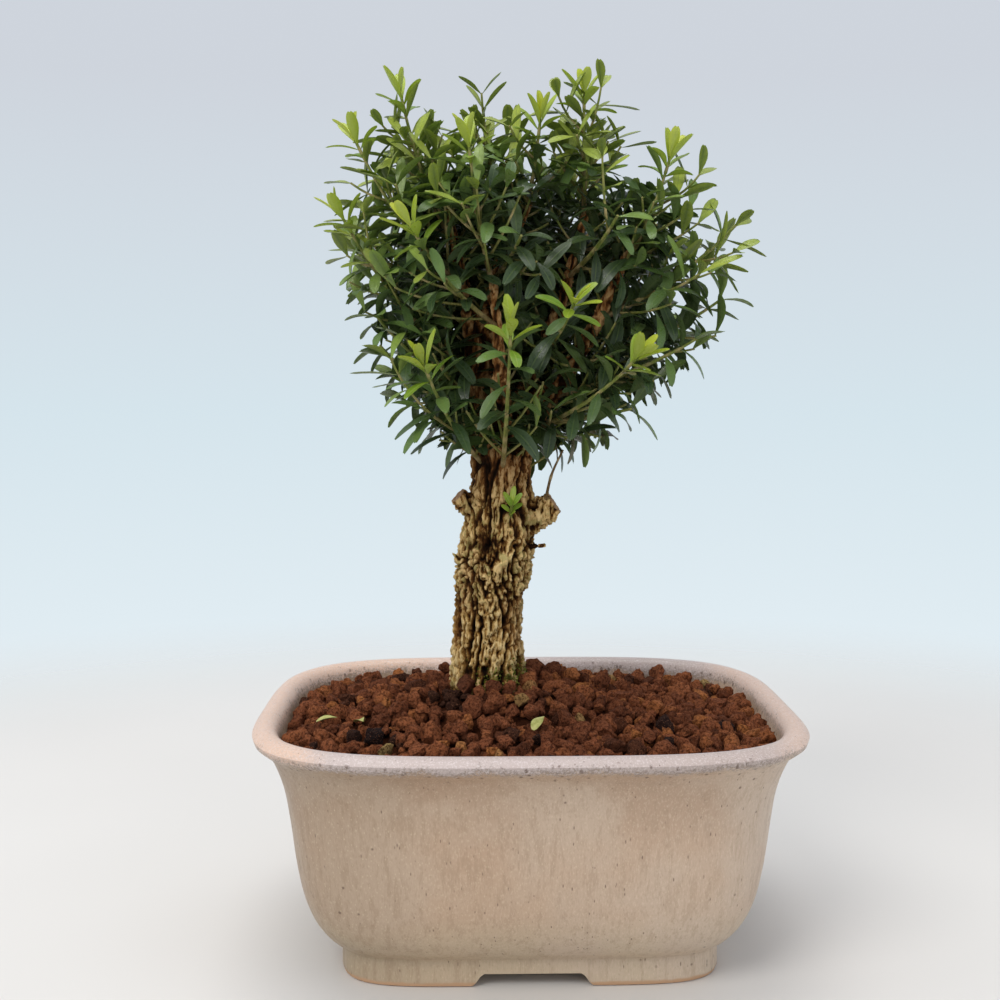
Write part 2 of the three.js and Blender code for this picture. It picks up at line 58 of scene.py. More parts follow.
# Each light's name, place and target in metres, width in metres, power in watts and colour
LIGHTS = [
    ("key", (-0.6, -0.85, 1.05), (0, 0, 0.16), 0.7, 8.5, (1.0, 0.98, 0.94)),
    ("fill", (0.9, -0.75, 0.6), (0, 0, 0.12), 1.0, 1.4, (0.97, 0.98, 1.0)),
    ("top", (-0.1, 0.1, 1.3), (0, 0, 0.15), 0.9, 7.5, (1.0, 0.99, 0.96)),
]
SKY_SPREAD = 0.35
SKY = [
    (0.0, (0.85, 0.84, 0.82)),
    (0.26, (0.75, 0.84, 0.89)),
    (0.47, (0.67, 0.78, 0.84)),
    (0.8, (0.62, 0.66, 0.72)),
]

# Edges that turn by more degrees than this are shown sharp
POT_CREASE = 60
FLOOR_CREASE = 50
LUMP_CREASE = 42
LEAF_CREASE = 70

# Starting numbers of the random draws
SOIL_SEED = 11
FINE_LUMP_SEED = 5
COARSE_LUMP_SEED = 6
MOSS_SEED = 9
MOSS_LUMP_SEED = 8
SHOOT_SEED = 1000
SHOOT_TURN_SEED = 100
TUFT_SEED = 2000
TUFT_TURN_SEED = 900
SPROUT_SEED = 77

# Pot
POT_WIDTH = 165.7
POT_DEPTH = 142.0
POT_HEIGHT = 74.0
POT_SEGMENTS = 320
RIM_SQUARENESS = 3.8
FOOT_SQUARENESS = 6.0
FOOT_HEIGHT = 8.4
FLOOR_UNDERSIDE = 4.0
FLOOR_TOP = 10.0
FOOT_INSET = 26.0
FOOT_LAND = 9.5
FRONT_NOTCH_WIDTH = 36.0
SIDE_NOTCH_WIDTH = 24.0
NOTCH_SHOULDER = 4.0
DRAIN_HOLE_RADIUS = 6.5
DRAIN_HOLE_X = 27.0
DRAIN_HOLE_SEGMENTS = 40
FLOOR_EDGE = DRAIN_HOLE_X + DRAIN_HOLE_RADIUS + 6
WALL_RINGS = 78
LIP_RINGS = 49
GLAZE_WOBBLE = 0.35
CLEARANCE = 0.3
# The wall as [height, how far in from the widest], up its outside over the lip and down its inside
OUTER_PROFILE = [
    (FOOT_HEIGHT, FOOT_INSET - 0.2),
    (11, 22.3),
    (16, 18.4),
    (23, 15.3),
    (33, 12.9),
    (46, 10.9),
    (56, 9),
    (63, 6.6),
    (66.8, 4.6),
    (69, 2),
    (71.2, 0),
    (73, 1.2),
    (POT_HEIGHT, 4),
]
INNER_PROFILE = [
    (72.6, 6.6),
    (67, 8.6),
    (56, 13.6),
    (34, 18),
    (18, 22.6),
    (FLOOR_TOP, 31),
]

# Soil
SOIL_EDGE_HEIGHT = 68.5
MOUND_HEIGHT = 13.0
MOUND_REACH = 34.0
SOIL_TOP = 67
BED_SEGMENTS = 160
BED_RINGS = 40
BED_DEPTH = 2.2
BED_RIPPLE = 0.7
# Lumps heaped behind the trunk, as [x, y, size]
HEAPED_LUMPS = [
    (3, 14, 5.6), (9, 17, 6.4), (15, 14, 5.4), (6, 23, 5.8), (13, 24, 6.6), (20, 21, 5.2), (26, 24, 5.8),
    (33, 20, 5.4), (0, 21, 5.0), (18, 29, 5.6), (-26, 16, 5.2), (-20, 22, 5.8),
]
GRAIN_SHAPES = 26
FINE_TRIANGLES = 100
COARSE_TRIANGLES = 230
FINE_SPACING = 3.5
COARSE_SPACING = 4.9
SCATTER_TRIES = 9000
DARK_PATCH = (-24, -12)
DARK_PATCH_SPREAD = 70
DARK_SHARE = 0.7
DARK_TONE = 0.02

# Trunk, limbs and stubs, as in the part
TRUNK = [
    (-12.4, 0.5, 46, 5),
    (-12.4, 0.5, 58, 10),
    (-12.4, 0, 72, 12.6),
    (-12.2, 0, 85, 10.8),
    (-13, 0, 97, 10),
    (-12.3, 0, 106, 10.5),
    (-10.7, 0, 115, 11.7),
    (-9.3, 0, 125, 11.5),
    (-8.5, 0, 134, 11),
    (-8.1, 0, 143, 9.6),
    (-8.1, 0, 151, 9.2),
    (-8.1, 0, 158, 7.4),
]
TRUNK_AT_SOIL = TRUNK[3]
LIMBS = {
    "left": [(-11, 0, 138), (-14, -1, 162), (-17.5, -2, 192), (-25, -3, 228)],
    "middle": [(-8, 1, 140), (-12, 0, 170), (-11, 1, 202), (1, 2, 230)],
    "right": [(-5, 0, 138), (-3, 2, 162), (9, 2, 194), (18, 1, 226)],
    "farRight": [(-4, -1, 136), (0, -4, 159), (17, -6, 185), (31, -8, 215)],
    "backLeft": [(-12, 3, 138), (-14, 6, 160), (-21, 18, 190), (-27, 25, 216)],
    "backRight": [(-6, 3, 138), (-4, 7, 160), (7, 21, 190), (13, 29, 218)],
    "back": [(-9, 4, 140), (-9, 9, 164), (-8, 18, 196), (-10, 20, 226)],
    "front": [(-8, -3, 138), (-8, -7, 158), (-9, -13, 180), (-11, -17, 204)],
}
LIMB_RADIUS = 4.3
LIMB_TIP_RADIUS = 1.3
# Sawn stubs and broken spikes on the trunk, as start, end, start radius and end radius
STUBS = [
    ((-13, -1, 131), (-22, -4, 139.5), 4.2, 3.1),
    ((-3, -1, 129), (8.8, -3, 137), 5, 4),
    ((-18, -4, 116), (-23.4, -6.5, 121.5), 1.3, 0.4),
    ((-1, -4, 122.6), (5.6, -6, 123.8), 0.9, 0.7),
]
BARK_VOXEL = 0.395
LIMB_VOXEL = 0.75
NECK_TOP = 176
BARK_DEPTH = 2.5
LIMB_BARK_DEPTH = 1.5
BELLY_HEIGHT = 117
BELLY_SPREAD = 9
NECK_START = (124, 134)
LIMB_START = (128, 150)
BARK_FADE = (236, 206)
BURIED = 66
MOSS_HEIGHTS = (92, 82)
MOSS_CUSHIONS = 380
KNOT_PLACE = np.array([-7.5, -11.6, 119.6])
KNOT_AXIS = (0.5, 0.0, 0.86)
HOLLOW_PLACE = (-13.9, -10.6, 124.3)

# Outline of the crown seen from the front, as [height, left reach, right reach], and its depth
CROWN_OUTLINE = [
    (140, -14, 6),
    (150, -25, 16),
    (158, -34, 30),
    (168, -42, 39),
    (178, -43, 53),
    (188, -49, 62),
    (198, -60, 69),
    (212, -62, 73),
    (226, -63, 74),
    (238, -58, 60),
    (250, -57, 52),
    (259, -48, 27),
    (269, -36, 6),
]
CROWN_DEPTH = 0.82
CROWN_MIDDLE_Y = 6.0
STEM_X = -8

# Leafy shoots: limb, how far out along it, where the tip stands, and whether the tip is new growth
SHOOTS = [
    ("left", 0.85, (-37.5, -2, 256), True),
    ("left", 0.72, (-50, -7, 242), True),
    ("left", 0.42, (-53.5, -13, 219), True),
    ("left", 0.34, (-46, -12, 194), False),
    ("left", 0.2, (-32, -12, 166), False),
    ("left", 0.1, (-29.5, -31, 175), True),
    ("front", 0.1, (-6.5, -37, 184), True),
    ("front", 0.8, (-32, -27, 214), True),
    ("front", 0.97, (-17.5, -24, 238), True),
    ("farRight", 0.26, (27.5, -31, 178), True),
    ("farRight", 0.4, (50, -16, 187), False),
    ("farRight", 0.72, (62, -13, 221), False),
    ("farRight", 0.52, (61, 4, 200), False),
    ("farRight", 0.88, (40.5, -13, 236), True),
    ("farRight", 0.3, (31, -14, 166), False),
    ("right", 0.5, (11, -32, 194), True),
    ("right", 0.78, (25, -26, 222), False),
    ("right", 0.98, (17, -3, 256), True),
    ("right", 0.86, (46, 8, 226), False),
    ("middle", 0.96, (3, -6, 248), True),
    ("middle", 0.72, (-3, -28, 216), False),
    ("back", 0.97, (-13.5, 12, 260), False),
    ("back", 0.8, (-7, 38, 243), False),
    ("back", 0.55, (-9, 46, 214), False),
    ("back", 0.3, (-12, 40, 184), False),
    ("backLeft", 0.96, (-34, 26, 248), False),
    ("backLeft", 0.7, (-54, 20, 226), False),
    ("backLeft", 0.55, (-40, 41, 210), False),
    ("backLeft", 0.3, (-47, 22, 186), False),
    ("backRight", 0.96, (16, 33, 250), False),
    ("backRight", 0.75, (40, 34, 228), False),
    ("backRight", 0.6, (18, 50, 208), False),
    ("backRight", 0.42, (50, 27, 200), False),
    ("backRight", 0.22, (29, 34, 172), False),
]
TWIG_RADIUS = 0.85
TWIG_TIP_RADIUS = 0.42
LIGHT_PULL = 1.5
SIDE_FIRST = 0.12
SIDE_LAST = 0.84
SIDE_STEP = 0.095
SIDE_SAMPLES = 60
HIDING_SHARE = 0.8
SPUR_STEP = 2.1
SPUR_TURN = 137.5
PAIR_SPACING = 5.016
SIDE_PAIR_SPACING = 5.7
EXTRA_PAIR_SPACING = 5.0
SPUR_PAIR_SPACING = 4.7
LEAF_LENGTH = 12.2
LEAF_WIDTH = 3.9
LEAF_ANGLE = 68.0
TIP_LEAF_ANGLE = 42.0
TUFT_STEM = 4.0
TUFT_LEAF_LENGTH = 10.5
# A tuft's leaf pairs as [height on its stem, angle, size]
TUFT_PAIRS = [(-1.2, 60, 1.02), (1.4, 44, 0.95), (3, 27, 1.08), (4.6, 13, 0.86)]
# Fresh twigs at the crown's outline: shoot number, how far out along it, and where the tip stands
EXTRA_TIPS = [
    (18, 0.72, (22, -5, 263)),
    (18, 0.55, (14, -14, 247)),
    (17, 0.8, (21, -20, 240)),
    (6, 0.5, (-41, -24, 181)),
    (20, 0.7, (-6, -12, 250)),
    (9, 0.6, (-27, -22, 232)),
    (1, 0.75, (-44, -6, 251)),
    (14, 0.7, (51, -12, 236)),
    (18, 0.8, (9, -6, 260)),
    (22, 0.93, (-14, 10, 264)),
    (19, 0.8, (38, 2, 232)),
    (3, 0.7, (-49, -18, 224)),
]
SPROUT_ROOT = (-5.6, -9.5, 132.5)
SPROUT_TIP = (-5.2, -14.6, 137)
# The sprout's blades as [place on the stalk, fan angle, forward lean, length]
SPROUT_BLADES = [
    (0.45, -40, 0.8, 4.4), (0.55, 46, 0.5, 4.4), (0.75, -19, 0.1, 5.6), (0.85, 27, 0.5, 5.6),
    (1.0, 3, 0.0, 6.0), (0.9, -8, 1.0, 4.0), (0.3, 25, 1.8, 3.0),
]
SPROUT_BLADE_WIDTH = 1.9
BARE_TWIG = [(5.4, -5.6, 137.5), (7.2, -8.6, 146), (10.4, -11.4, 153.5)]
# Fallen leaves as [x, y, turn, length]
FALLEN_LEAVES = [(-51, -24, 20, 8), (-62, -14, 80, 7), (2, -33, 155, 9)]
UP = np.array([0.0, 0.0, 1.0])


def seeded_random(seed):
    """The part's own repeatable stream, so that leaves here turn as they do there."""
    state = seed & 0xFFFFFFFF

    def draw():
        nonlocal state
        state = (state + 0x6D2B79F5) & 0xFFFFFFFF
        mixed = ((state ^ (state >> 15)) * (state | 1)) & 0xFFFFFFFF
        mixed ^= (mixed + (((mixed ^ (mixed >> 7)) * (mixed | 61)) & 0xFFFFFFFF)) & 0xFFFFFFFF
        return ((mixed ^ (mixed >> 14)) & 0xFFFFFFFF) / 4294967296

    return draw


def unit(vector):
    return vector / max(1e-9, float(np.linalg.norm(vector)))


def turned(vector, axis, degrees):
    """The vector turned about a unit axis."""
    angle = math.radians(degrees)
    across = np.cross(axis, vector)
    along = axis * float(axis @ vector)
    return vector * math.cos(angle) + across * math.sin(angle) + along * (1 - math.cos(angle))


def smooth_step(low, high, value):
    part = np.clip((value - low) / (high - low), 0, 1)
    return part * part * (3 - 2 * part)


def noise_at(x, y, z):
    return noise.noise(Vector((x, y, z)))


def square_to(vector, axis):
    """The part of a vector that stands square to a unit axis, one long."""
    return unit(vector - axis * float(vector @ axis))


def taper(first, last):
    return lambda share: first + (last - first) * share


def round_angles(count):
    return np.linspace(0, 2 * math.pi, count, endpoint=False)


class Curve:
    """A smooth line through points, read by the share of its length."""

    def __init__(self, samples):
        self.samples = np.asarray(samples, float)
        steps = np.linalg.norm(np.diff(self.samples, axis=0), axis=1)
        self.lengths = np.concatenate([[0], np.cumsum(steps)])
        self.length = self.lengths[-1]

    @classmethod
    def through(cls, points, steps=200):
        """A centripetal Catmull-Rom curve, with its ends carried straight on."""
        points = [np.asarray(point, float) for point in points]
        points = [2 * points[0] - points[1]] + points + [2 * points[-1] - points[-2]]
        samples = []
        for index in range(len(points) - 3):
            a, b, c, d = points[index:index + 4]
            gaps = [max(1e-4, float(np.linalg.norm(q - p))) ** 0.5 for p, q in ((a, b), (b, c), (c, d))]
            start = (b - a) / gaps[0] - (c - a) / (gaps[0] + gaps[1]) + (c - b) / gaps[1]
            end = (c - b) / gaps[1] - (d - b) / (gaps[1] + gaps[2]) + (d - c) / gaps[2]
            start, end = start * gaps[1], end * gaps[1]
            for t in np.linspace(0, 1, steps, endpoint=index == len(points) - 4):
                samples.append(b + start * t + (3 * (c - b) - 2 * start - end) * t * t
                               + (2 * (b - c) + start + end) * t ** 3)
        return cls(samples)

    @classmethod
    def bezier(cls, base, bend, end, steps):
        t = np.linspace(0, 1, steps)[:, None]
        base, bend, end = (np.asarray(point, float) for point in (base, bend, end))
        return cls((1 - t) ** 2 * base + 2 * t * (1 - t) * bend + t * t * end)

    def at(self, share):
        where = np.clip(share, 0, 1) * self.length
        return np.stack([np.interp(where, self.lengths, self.samples[:, k]) for k in range(3)], -1)

    def tangent(self, share):
        return unit(self.at(min(1, share + 0.004)) - self.at(max(0, share - 0.004)))


LIMB_CURVES = {name: Curve.through(points) for name, points in LIMBS.items()}
limb_radius = taper(LIMB_RADIUS, LIMB_TIP_RADIUS)


def place_object(name, data):
    made = bpy.data.objects.new(name, data)
    bpy.context.scene.collection.objects.link(made)
    return made


def make_object(name, points, faces, materials, attributes=None, face_materials=None, sharp=None):
    """A mesh from points in millimetres and one array of quads or triangles."""
    faces = [np.asarray(block, np.int32) for block in (faces if isinstance(faces, list) else [faces])]
    mesh = bpy.data.meshes.new(name)
    points = np.asarray(points, np.float32) * MM
    mesh.vertices.add(len(points))
    mesh.vertices.foreach_set("co", points.ravel())
    corners = np.concatenate([block.ravel() for block in faces])
    sizes = np.concatenate([np.full(len(block), block.shape[1], np.int32) for block in faces])
    starts = np.concatenate([[0], np.cumsum(sizes)[:-1]]).astype(np.int32)
    mesh.loops.add(len(corners))
    mesh.loops.foreach_set("vertex_index", corners)
    mesh.polygons.add(len(sizes))
    mesh.polygons.foreach_set("loop_start", starts)
    if face_materials is not None:
        mesh.polygons.foreach_set("material_index", np.asarray(face_materials, np.int32))
    mesh.update(calc_edges=True)
    mesh.validate()
    mesh.shade_smooth()
    if sharp is not None:
        mesh.set_sharp_from_angle(angle=math.radians(sharp))
    for key, values in (attributes or {}).items():
        layer = mesh.attributes.new(key, "FLOAT", "POINT")
        layer.data.foreach_set("value", np.asarray(values, np.float32))
    for material in materials:
        mesh.materials.append(material)
    return place_object(name, mesh)


def hold(piece, slot, *nodes):
    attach(piece, "root")
    if nodes:
        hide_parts(*nodes)


def ring_faces(rings, count):
    """Quads between rings of points that follow each other."""
    here = np.arange(count)
    after = (here + 1) % count
    return np.concatenate([
        np.column_stack([low + here, low + after, low + count + after, low + count + here])
        for low in range(0, (rings - 1) * count, count)
    ])


def cap_faces(first, count, centre, turned_over):
    """A fan of triangles that closes the ring that starts at a point."""
    here = np.arange(count)
    after = (here + 1) % count
    pair = (after, here) if turned_over else (here, after)
    return np.column_stack([first + pair[0], first + pair[1], np.full(count, centre)])


def fill_ramp(node, stops):
    elements = node.color_ramp.elements
    while len(elements) < len(stops):
        elements.new(0.5)
    for element, (position, colour) in zip(elements, stops):
        element.position = position
        element.color = (*colour, 1)


class Shader:
    """A short way to write a material's nodes."""

    def __init__(self, name):
        self.material = bpy.data.materials.new(name)
        self.material.use_nodes = True
        self.tree = self.material.node_tree
        self.tree.nodes.clear()
        self.surface = self.add("ShaderNodeBsdfPrincipled")
        self.output = self.add("ShaderNodeOutputMaterial")
        self.tree.links.new(self.surface.outputs["BSDF"], self.output.inputs["Surface"])

    def add(self, kind, **settings):
        node = self.tree.nodes.new(kind)
        for key, value in settings.items():
            setattr(node, key, value)
        return node

    def feed(self, socket, value):
        if isinstance(value, bpy.types.NodeSocket):
            self.tree.links.new(value, socket)
        elif isinstance(value, (tuple, list)) and len(value) == 3 and socket.type == "RGBA":
            socket.default_value = (*value, 1)
        else:
            socket.default_value = value

    def place(self, stretch=(1, 1, 1)):
        """The object's own coordinates in millimetres, stretched."""
        coordinates = self.add("ShaderNodeTexCoord")
        mapping = self.add("ShaderNodeMapping")
        mapping.inputs["Scale"].default_value = tuple(part / MM for part in stretch)
        self.feed(mapping.inputs["Vector"], coordinates.outputs["Object"])
        return mapping.outputs["Vector"]

    def axis(self, name):
        """One of the object's own coordinates in millimetres."""
        split = self.add("ShaderNodeSeparateXYZ")
        self.feed(split.inputs[0], self.place())
        return split.outputs[name]

    def texture(self, kind, where, **numbers):
        node = self.add(kind)
        self.feed(node.inputs["Vector"], where)
        for key, number in numbers.items():
            node.inputs[key].default_value = number
        return node

    def noise(self, where, scale, detail=3, rough=0.55):
        node = self.texture("ShaderNodeTexNoise", where, Scale=scale, Detail=detail, Roughness=rough)
        return node.outputs["Fac"]

    def cells(self, where, scale):
        return self.texture("ShaderNodeTexVoronoi", where, Scale=scale).outputs["Distance"]

    def value(self, name):
        return self.add("ShaderNodeAttribute", attribute_name=name).outputs["Fac"]

    def math(self, operation, first, second=0.0):
        node = self.add("ShaderNodeMath", operation=operation)
        self.feed(node.inputs[0], first)
        self.feed(node.inputs[1], second)
        return node.outputs[0]

    def times(self, first, second):
        return self.math("MULTIPLY", first, second)

    def plus(self, first, second):
        return self.math("ADD", first, second)

    def most(self, first, second):
        return self.math("MAXIMUM", first, second)

    def swing(self, value, reach):
        """A value from 0 to 1 as a shift to both sides of nothing."""
        return self.times(self.math("SUBTRACT", value, 0.5), reach)

    def span(self, value, low, high, to_low=0.0, to_high=1.0):
        node = self.add("ShaderNodeMapRange", interpolation_type="SMOOTHSTEP")
        self.feed(node.inputs["Value"], value)
        for socket, number in (("From Min", low), ("From Max", high), ("To Min", to_low), ("To Max", to_high)):
            node.inputs[socket].default_value = number
        return node.outputs["Result"]

    def ramp(self, value, *stops):
        node = self.add("ShaderNodeValToRGB")
        fill_ramp(node, stops)
        self.feed(node.inputs["Fac"], value)
        return node.outputs["Color"]

    def mix(self, share, first, second, blend="MIX"):
        node = self.add("ShaderNodeMix", data_type="RGBA", blend_type=blend)
        self.feed(node.inputs[0], share)
        self.feed(node.inputs[6], first)
        self.feed(node.inputs[7], second)
        return node.outputs[2]

    def bump(self, height, distance):
        node = self.add("ShaderNodeBump")
        node.inputs["Distance"].default_value = distance * MM
        self.feed(node.inputs["Height"], height)
        self.feed(self.surface.inputs["Normal"], node.outputs["Normal"])

    def finish(self, colour, roughness, **numbers):
        self.feed(self.surface.inputs["Base Color"], colour)
        self.feed(self.surface.inputs["Roughness"], roughness)
        for key, number in numbers.items():
            self.surface.inputs[key.replace("_", " ")].default_value = number
        return self.material


def glaze_material():
    """Satin warm grey glaze: upright runs, brown pin specks, a pale lip and a bare clay foot, with painted
    shade on the body's left and painted light on its right.
    """
    s = Shader("glaze")
    height = s.axis("Z")
    side = s.span(s.axis("X"), -75, 75)
    runs = s.noise(s.place((1, 1, 0.1)), 0.5, 5, 0.65)
    fine_runs = s.noise(s.place((1, 1, 0.3)), 2.2, 3, 0.6)
    cloud = s.noise(s.place(), 0.028, 3)
    body = s.ramp(
        s.span(height, 2, 66),
        (0.0, (0.525, 0.410, 0.275)),
        (0.12, (0.540, 0.420, 0.285)),
        (0.30, (0.515, 0.366, 0.248)),
        (0.75, (0.495, 0.341, 0.228)),
        (1.0, (0.430, 0.290, 0.190)),
    )
    body = s.mix(s.span(cloud, 0.42, 0.66, 0, 0.7), body, (0.545, 0.416, 0.302))
    body = s.mix(s.span(runs, 0.38, 0.52, 0.38, 0), body, (0.370, 0.255, 0.163))
    body = s.mix(s.span(fine_runs, 0.5, 0.72, 0, 0.4), body, (0.660, 0.505, 0.365))
    body = s.mix(s.span(fine_runs, 0.45, 0.3, 0, 0.35), body, (0.345, 0.235, 0.150))
    # Painted shade and light: the body is darkened on its left and lightened and cooled on its right.
    painted_side_shading = s.ramp(side, (0.0, (0.72, 0.71, 0.70)), (0.25, (0.95, 0.94, 0.95)), (1.0, (1.06, 1.10, 1.18)))
    body = s.mix(1.0, body, painted_side_shading, "MULTIPLY")
    flecks = s.span(s.cells(s.place((1, 1, 0.6)), 1.0), 0.26, 0.10, 0, 0.28)
    body = s.mix(flecks, body, (0.700, 0.580, 0.400))
    powder = s.noise(s.place(), 1.4, 3, 0.7)
    across = s.plus(s.axis("X"), s.swing(powder, 14.0))
    peach = s.most(s.span(across, -54, -68), s.span(across, 62, 76, 0, 0.75))
    back = s.times(s.span(s.axis("Y"), 20, 50), s.span(across, 0, -45))
    lip = s.mix(s.span(s.axis("X"), 0, 60, 0, 0.35), (0.500, 0.408, 0.380), (0.380, 0.285, 0.235))
    lip = s.mix(s.most(peach, back), lip, (0.650, 0.450, 0.340))
    lip = s.mix(s.span(powder, 0.50, 0.66, 0, 0.5), lip, (0.450, 0.360, 0.320))
    lip = s.mix(s.span(s.noise(s.place(), 2.0, 2), 0.50, 0.66, 0, 0.5), lip, (0.690, 0.610, 0.600))
    frayed = s.swing(powder, 7.0)
    drift = s.swing(s.noise(s.place((1, 1, 0)), 0.09, 3), 4.5)
    edge = s.plus(height, s.plus(frayed, drift))
    worn = s.times(s.span(edge, 72.2, 69.8), s.span(s.noise(s.place(), 1.2, 4, 0.8), 0.42, 0.54))
    lip = s.mix(worn, lip, (0.260, 0.205, 0.170))
    coloured = s.mix(s.span(edge, 68.4, 70.4), body, lip)
    wall = s.ramp(
        s.span(height, 58, 74),
        (0.0, (0.430, 0.440, 0.440)),
        (0.55, (0.700, 0.650, 0.600)),
        (0.80, (0.680, 0.480, 0.350)),
        (1.0, (0.690, 0.560, 0.490)),
    )
    wall = s.mix(s.span(s.axis("X"), 10, -40, 0, 0.8), wall, (0.700, 0.490, 0.370))
    coloured = s.mix(s.value("inside"), coloured, wall)
    pick = s.noise(s.place(), 0.3, 1)
    dashes = s.cells(s.place((1.3, 1.3, 0.35)), 0.62)
    pins = s.times(s.span(dashes, 0.2, 0.08), s.span(pick, 0.48, 0.60))
    spots = s.times(s.span(s.cells(s.place(), 0.16), 0.10, 0.04), s.span(cloud, 0.54, 0.62))
    rim_pins = s.span(s.cells(s.place((1, 1, 0.7)), 0.42), 0.30, 0.12)
    rim_pins = s.times(rim_pins, s.span(edge, 66.4, 67.8))
    rim_pins = s.times(rim_pins, s.span(edge, 73.0, 71.2))
    dots = s.most(s.most(pins, spots), rim_pins)
    coloured = s.mix(s.times(dots, 0.7), coloured, (0.105, 0.060, 0.038))
    bare = s.span(s.plus(height, s.noise(s.place(), 0.3, 2)), 2.3, 1.5)
    coloured = s.mix(bare, coloured, (0.520, 0.320, 0.190))
    s.bump(s.plus(s.times(powder, 0.6), s.times(dots, -0.6)), 0.1)
    roughness = s.plus(s.span(runs, 0.3, 0.7, 0.46, 0.36), s.times(bare, 0.4))
    return s.finish(coloured, roughness, Specular_IOR_Level=0.35)


def bark_material():
    """Cork coloured by its relief: near black in the cracks, brown flanks and pale ochre crests. The black of
    the cracks is partly painted shade and the pale crests partly painted highlight.
    """
    s = Shader("bark")
    grain = s.noise(s.place((1, 1, 0.35)), 1.5, 6, 0.7)
    patch = s.noise(s.place((1, 1, 0.5)), 0.10, 3)
    roughened = s.swing(grain, 1.35)
    roughened = s.times(roughened, s.span(s.value("crest"), 0.08, 0.6, 0.2, 1))
    crest = s.plus(s.value("crest"), roughened)
    # The crest ramps paint shade into the cracks and the hollow and highlight onto the ridges and the knot,
    # over the cork's own darker and paler colours.
    cork = s.ramp(
        crest,
        (0.11, (0.010, 0.004, 0.001)),
        (0.33, (0.068, 0.025, 0.006)),
        (0.57, (0.255, 0.115, 0.026)),
        (0.77, (0.600, 0.360, 0.118)),
        (0.98, (0.940, 0.690, 0.330)),
    )
    rust = s.ramp(
        crest,
        (0.08, (0.010, 0.004, 0.001)),
        (0.35, (0.060, 0.020, 0.005)),
        (0.65, (0.260, 0.105, 0.028)),
        (0.98, (0.560, 0.330, 0.140)),
    )
    shade = s.most(s.value("limb"), s.span(patch, 0.52, 0.64, 0, 0.7))
    colour = s.mix(shade, cork, rust)
    # Painted light: the crests of the trunk from about 100 mm up, off the limbs, are lightened towards pale
    # ochre as if more light reached them under the crown.
    painted_crest_light = s.times(s.span(s.axis("Z"), 98, 110, 0, 0.5), s.span(crest, 0.5, 0.85))
    off_limbs = s.math("SUBTRACT", 1.0, s.value("limb"))
    painted_crest_light = s.times(painted_crest_light, off_limbs)
    colour = s.mix(painted_crest_light, colour, (0.940, 0.660, 0.300))
    lichen = s.span(s.noise(s.place(), 0.35, 4, 0.75), 0.48, 0.62)
    low = s.plus(s.span(s.axis("Z"), 92, 82, 0, 0.4), s.span(s.axis("Z"), 96, 112, 0, 0.6))
    green = s.times(lichen, s.times(s.span(crest, 0.3, 0.7), low))
    green = s.times(green, off_limbs)
    colour = s.mix(green, colour, (0.350, 0.320, 0.100))
    moss = s.ramp(grain, (0.35, (0.020, 0.030, 0.006)), (0.65, (0.120, 0.130, 0.025)))
    colour = s.mix(s.value("moss"), colour, moss)
    wood = s.ramp(grain, (0.35, (0.300, 0.160, 0.080)), (0.65, (0.640, 0.410, 0.240)))
    colour = s.mix(s.value("sawn"), colour, wood)
    s.bump(s.noise(s.place((1, 1, 0.45)), 2.0, 6, 0.8), 0.8)
    return s.finish(colour, 0.92, Specular_IOR_Level=0.12)


def leaf_material(name, young):
    """Leaf green by age and painted shade and by leaf, with a paler midrib and underside."""
    s = Shader(name)
    tone = s.value("tone")
    if young:
        fresh = s.ramp(
            tone, (0.0, (0.230, 0.420, 0.035)), (0.5, (0.450, 0.560, 0.045)), (1.0, (0.720, 0.730, 0.080)),
        )
        colour = s.mix(s.value("age_and_shade"), fresh, (0.120, 0.260, 0.030))
        rib, mottled, pale = (0.600, 0.640, 0.180), (0.300, 0.420, 0.040), (0.430, 0.500, 0.130)
    else:
        # Mature leaves run from light to dark with their age and painted shade: the value carries both, darker
        # inside and low in the crown, lighter high up and at its sides.
        colour = s.ramp(
            s.value("age_and_shade"),
            (0.0, (0.500, 0.590, 0.075)),
            (0.18, (0.385, 0.535, 0.090)),
            (0.42, (0.205, 0.345, 0.082)),
            (0.68, (0.046, 0.094, 0.033)),
            (1.0, (0.010, 0.027, 0.013)),
        )
        colour = s.mix(s.span(tone, 0, 0.5, 0.30, 0), colour, (0.022, 0.042, 0.014))
        colour = s.mix(s.span(tone, 0.6, 1, 0, 0.3), colour, (0.240, 0.335, 0.060))
        rib, mottled, pale = (0.190, 0.260, 0.065), (0.055, 0.092, 0.024), (0.130, 0.175, 0.070)
    vein = s.span(s.value("across"), 0.16, 0.03, 0, 0.45)
    colour = s.mix(vein, colour, rib)
    mottle = s.noise(s.place(), 0.8, 3)
    colour = s.mix(s.span(mottle, 0.35, 0.7, 0, 0.25), colour, mottled)
    colour = s.mix(s.times(s.value("under"), 0.75), colour, pale)
    bronze = s.ramp(mottle, (0.3, (0.110, 0.080, 0.040)), (0.7, (0.250, 0.200, 0.120)))
    colour = s.mix(s.value("bronze"), colour, bronze)
    s.bump(s.plus(s.times(vein, -0.6), s.noise(s.place(), 1.6, 2)), 0.08)
    s.finish(colour, s.span(mottle, 0.3, 0.7, 0.25, 0.38), Specular_IOR_Level=0.45)
    glow = s.add("ShaderNodeBsdfTranslucent")
    s.feed(glow.inputs["Color"], s.mix(0.5, colour, (0.620, 0.700, 0.020) if young else (0.245, 0.360, 0.040)))
    blend = s.add("ShaderNodeMixShader")
    blend.inputs[0].default_value = 0.40 if young else 0.30
    s.tree.links.new(s.surface.outputs["BSDF"], blend.inputs[1])
    s.tree.links.new(glow.outputs["BSDF"], blend.inputs[2])
    s.tree.links.new(blend.outputs[0], s.output.inputs["Surface"])
    return s.material


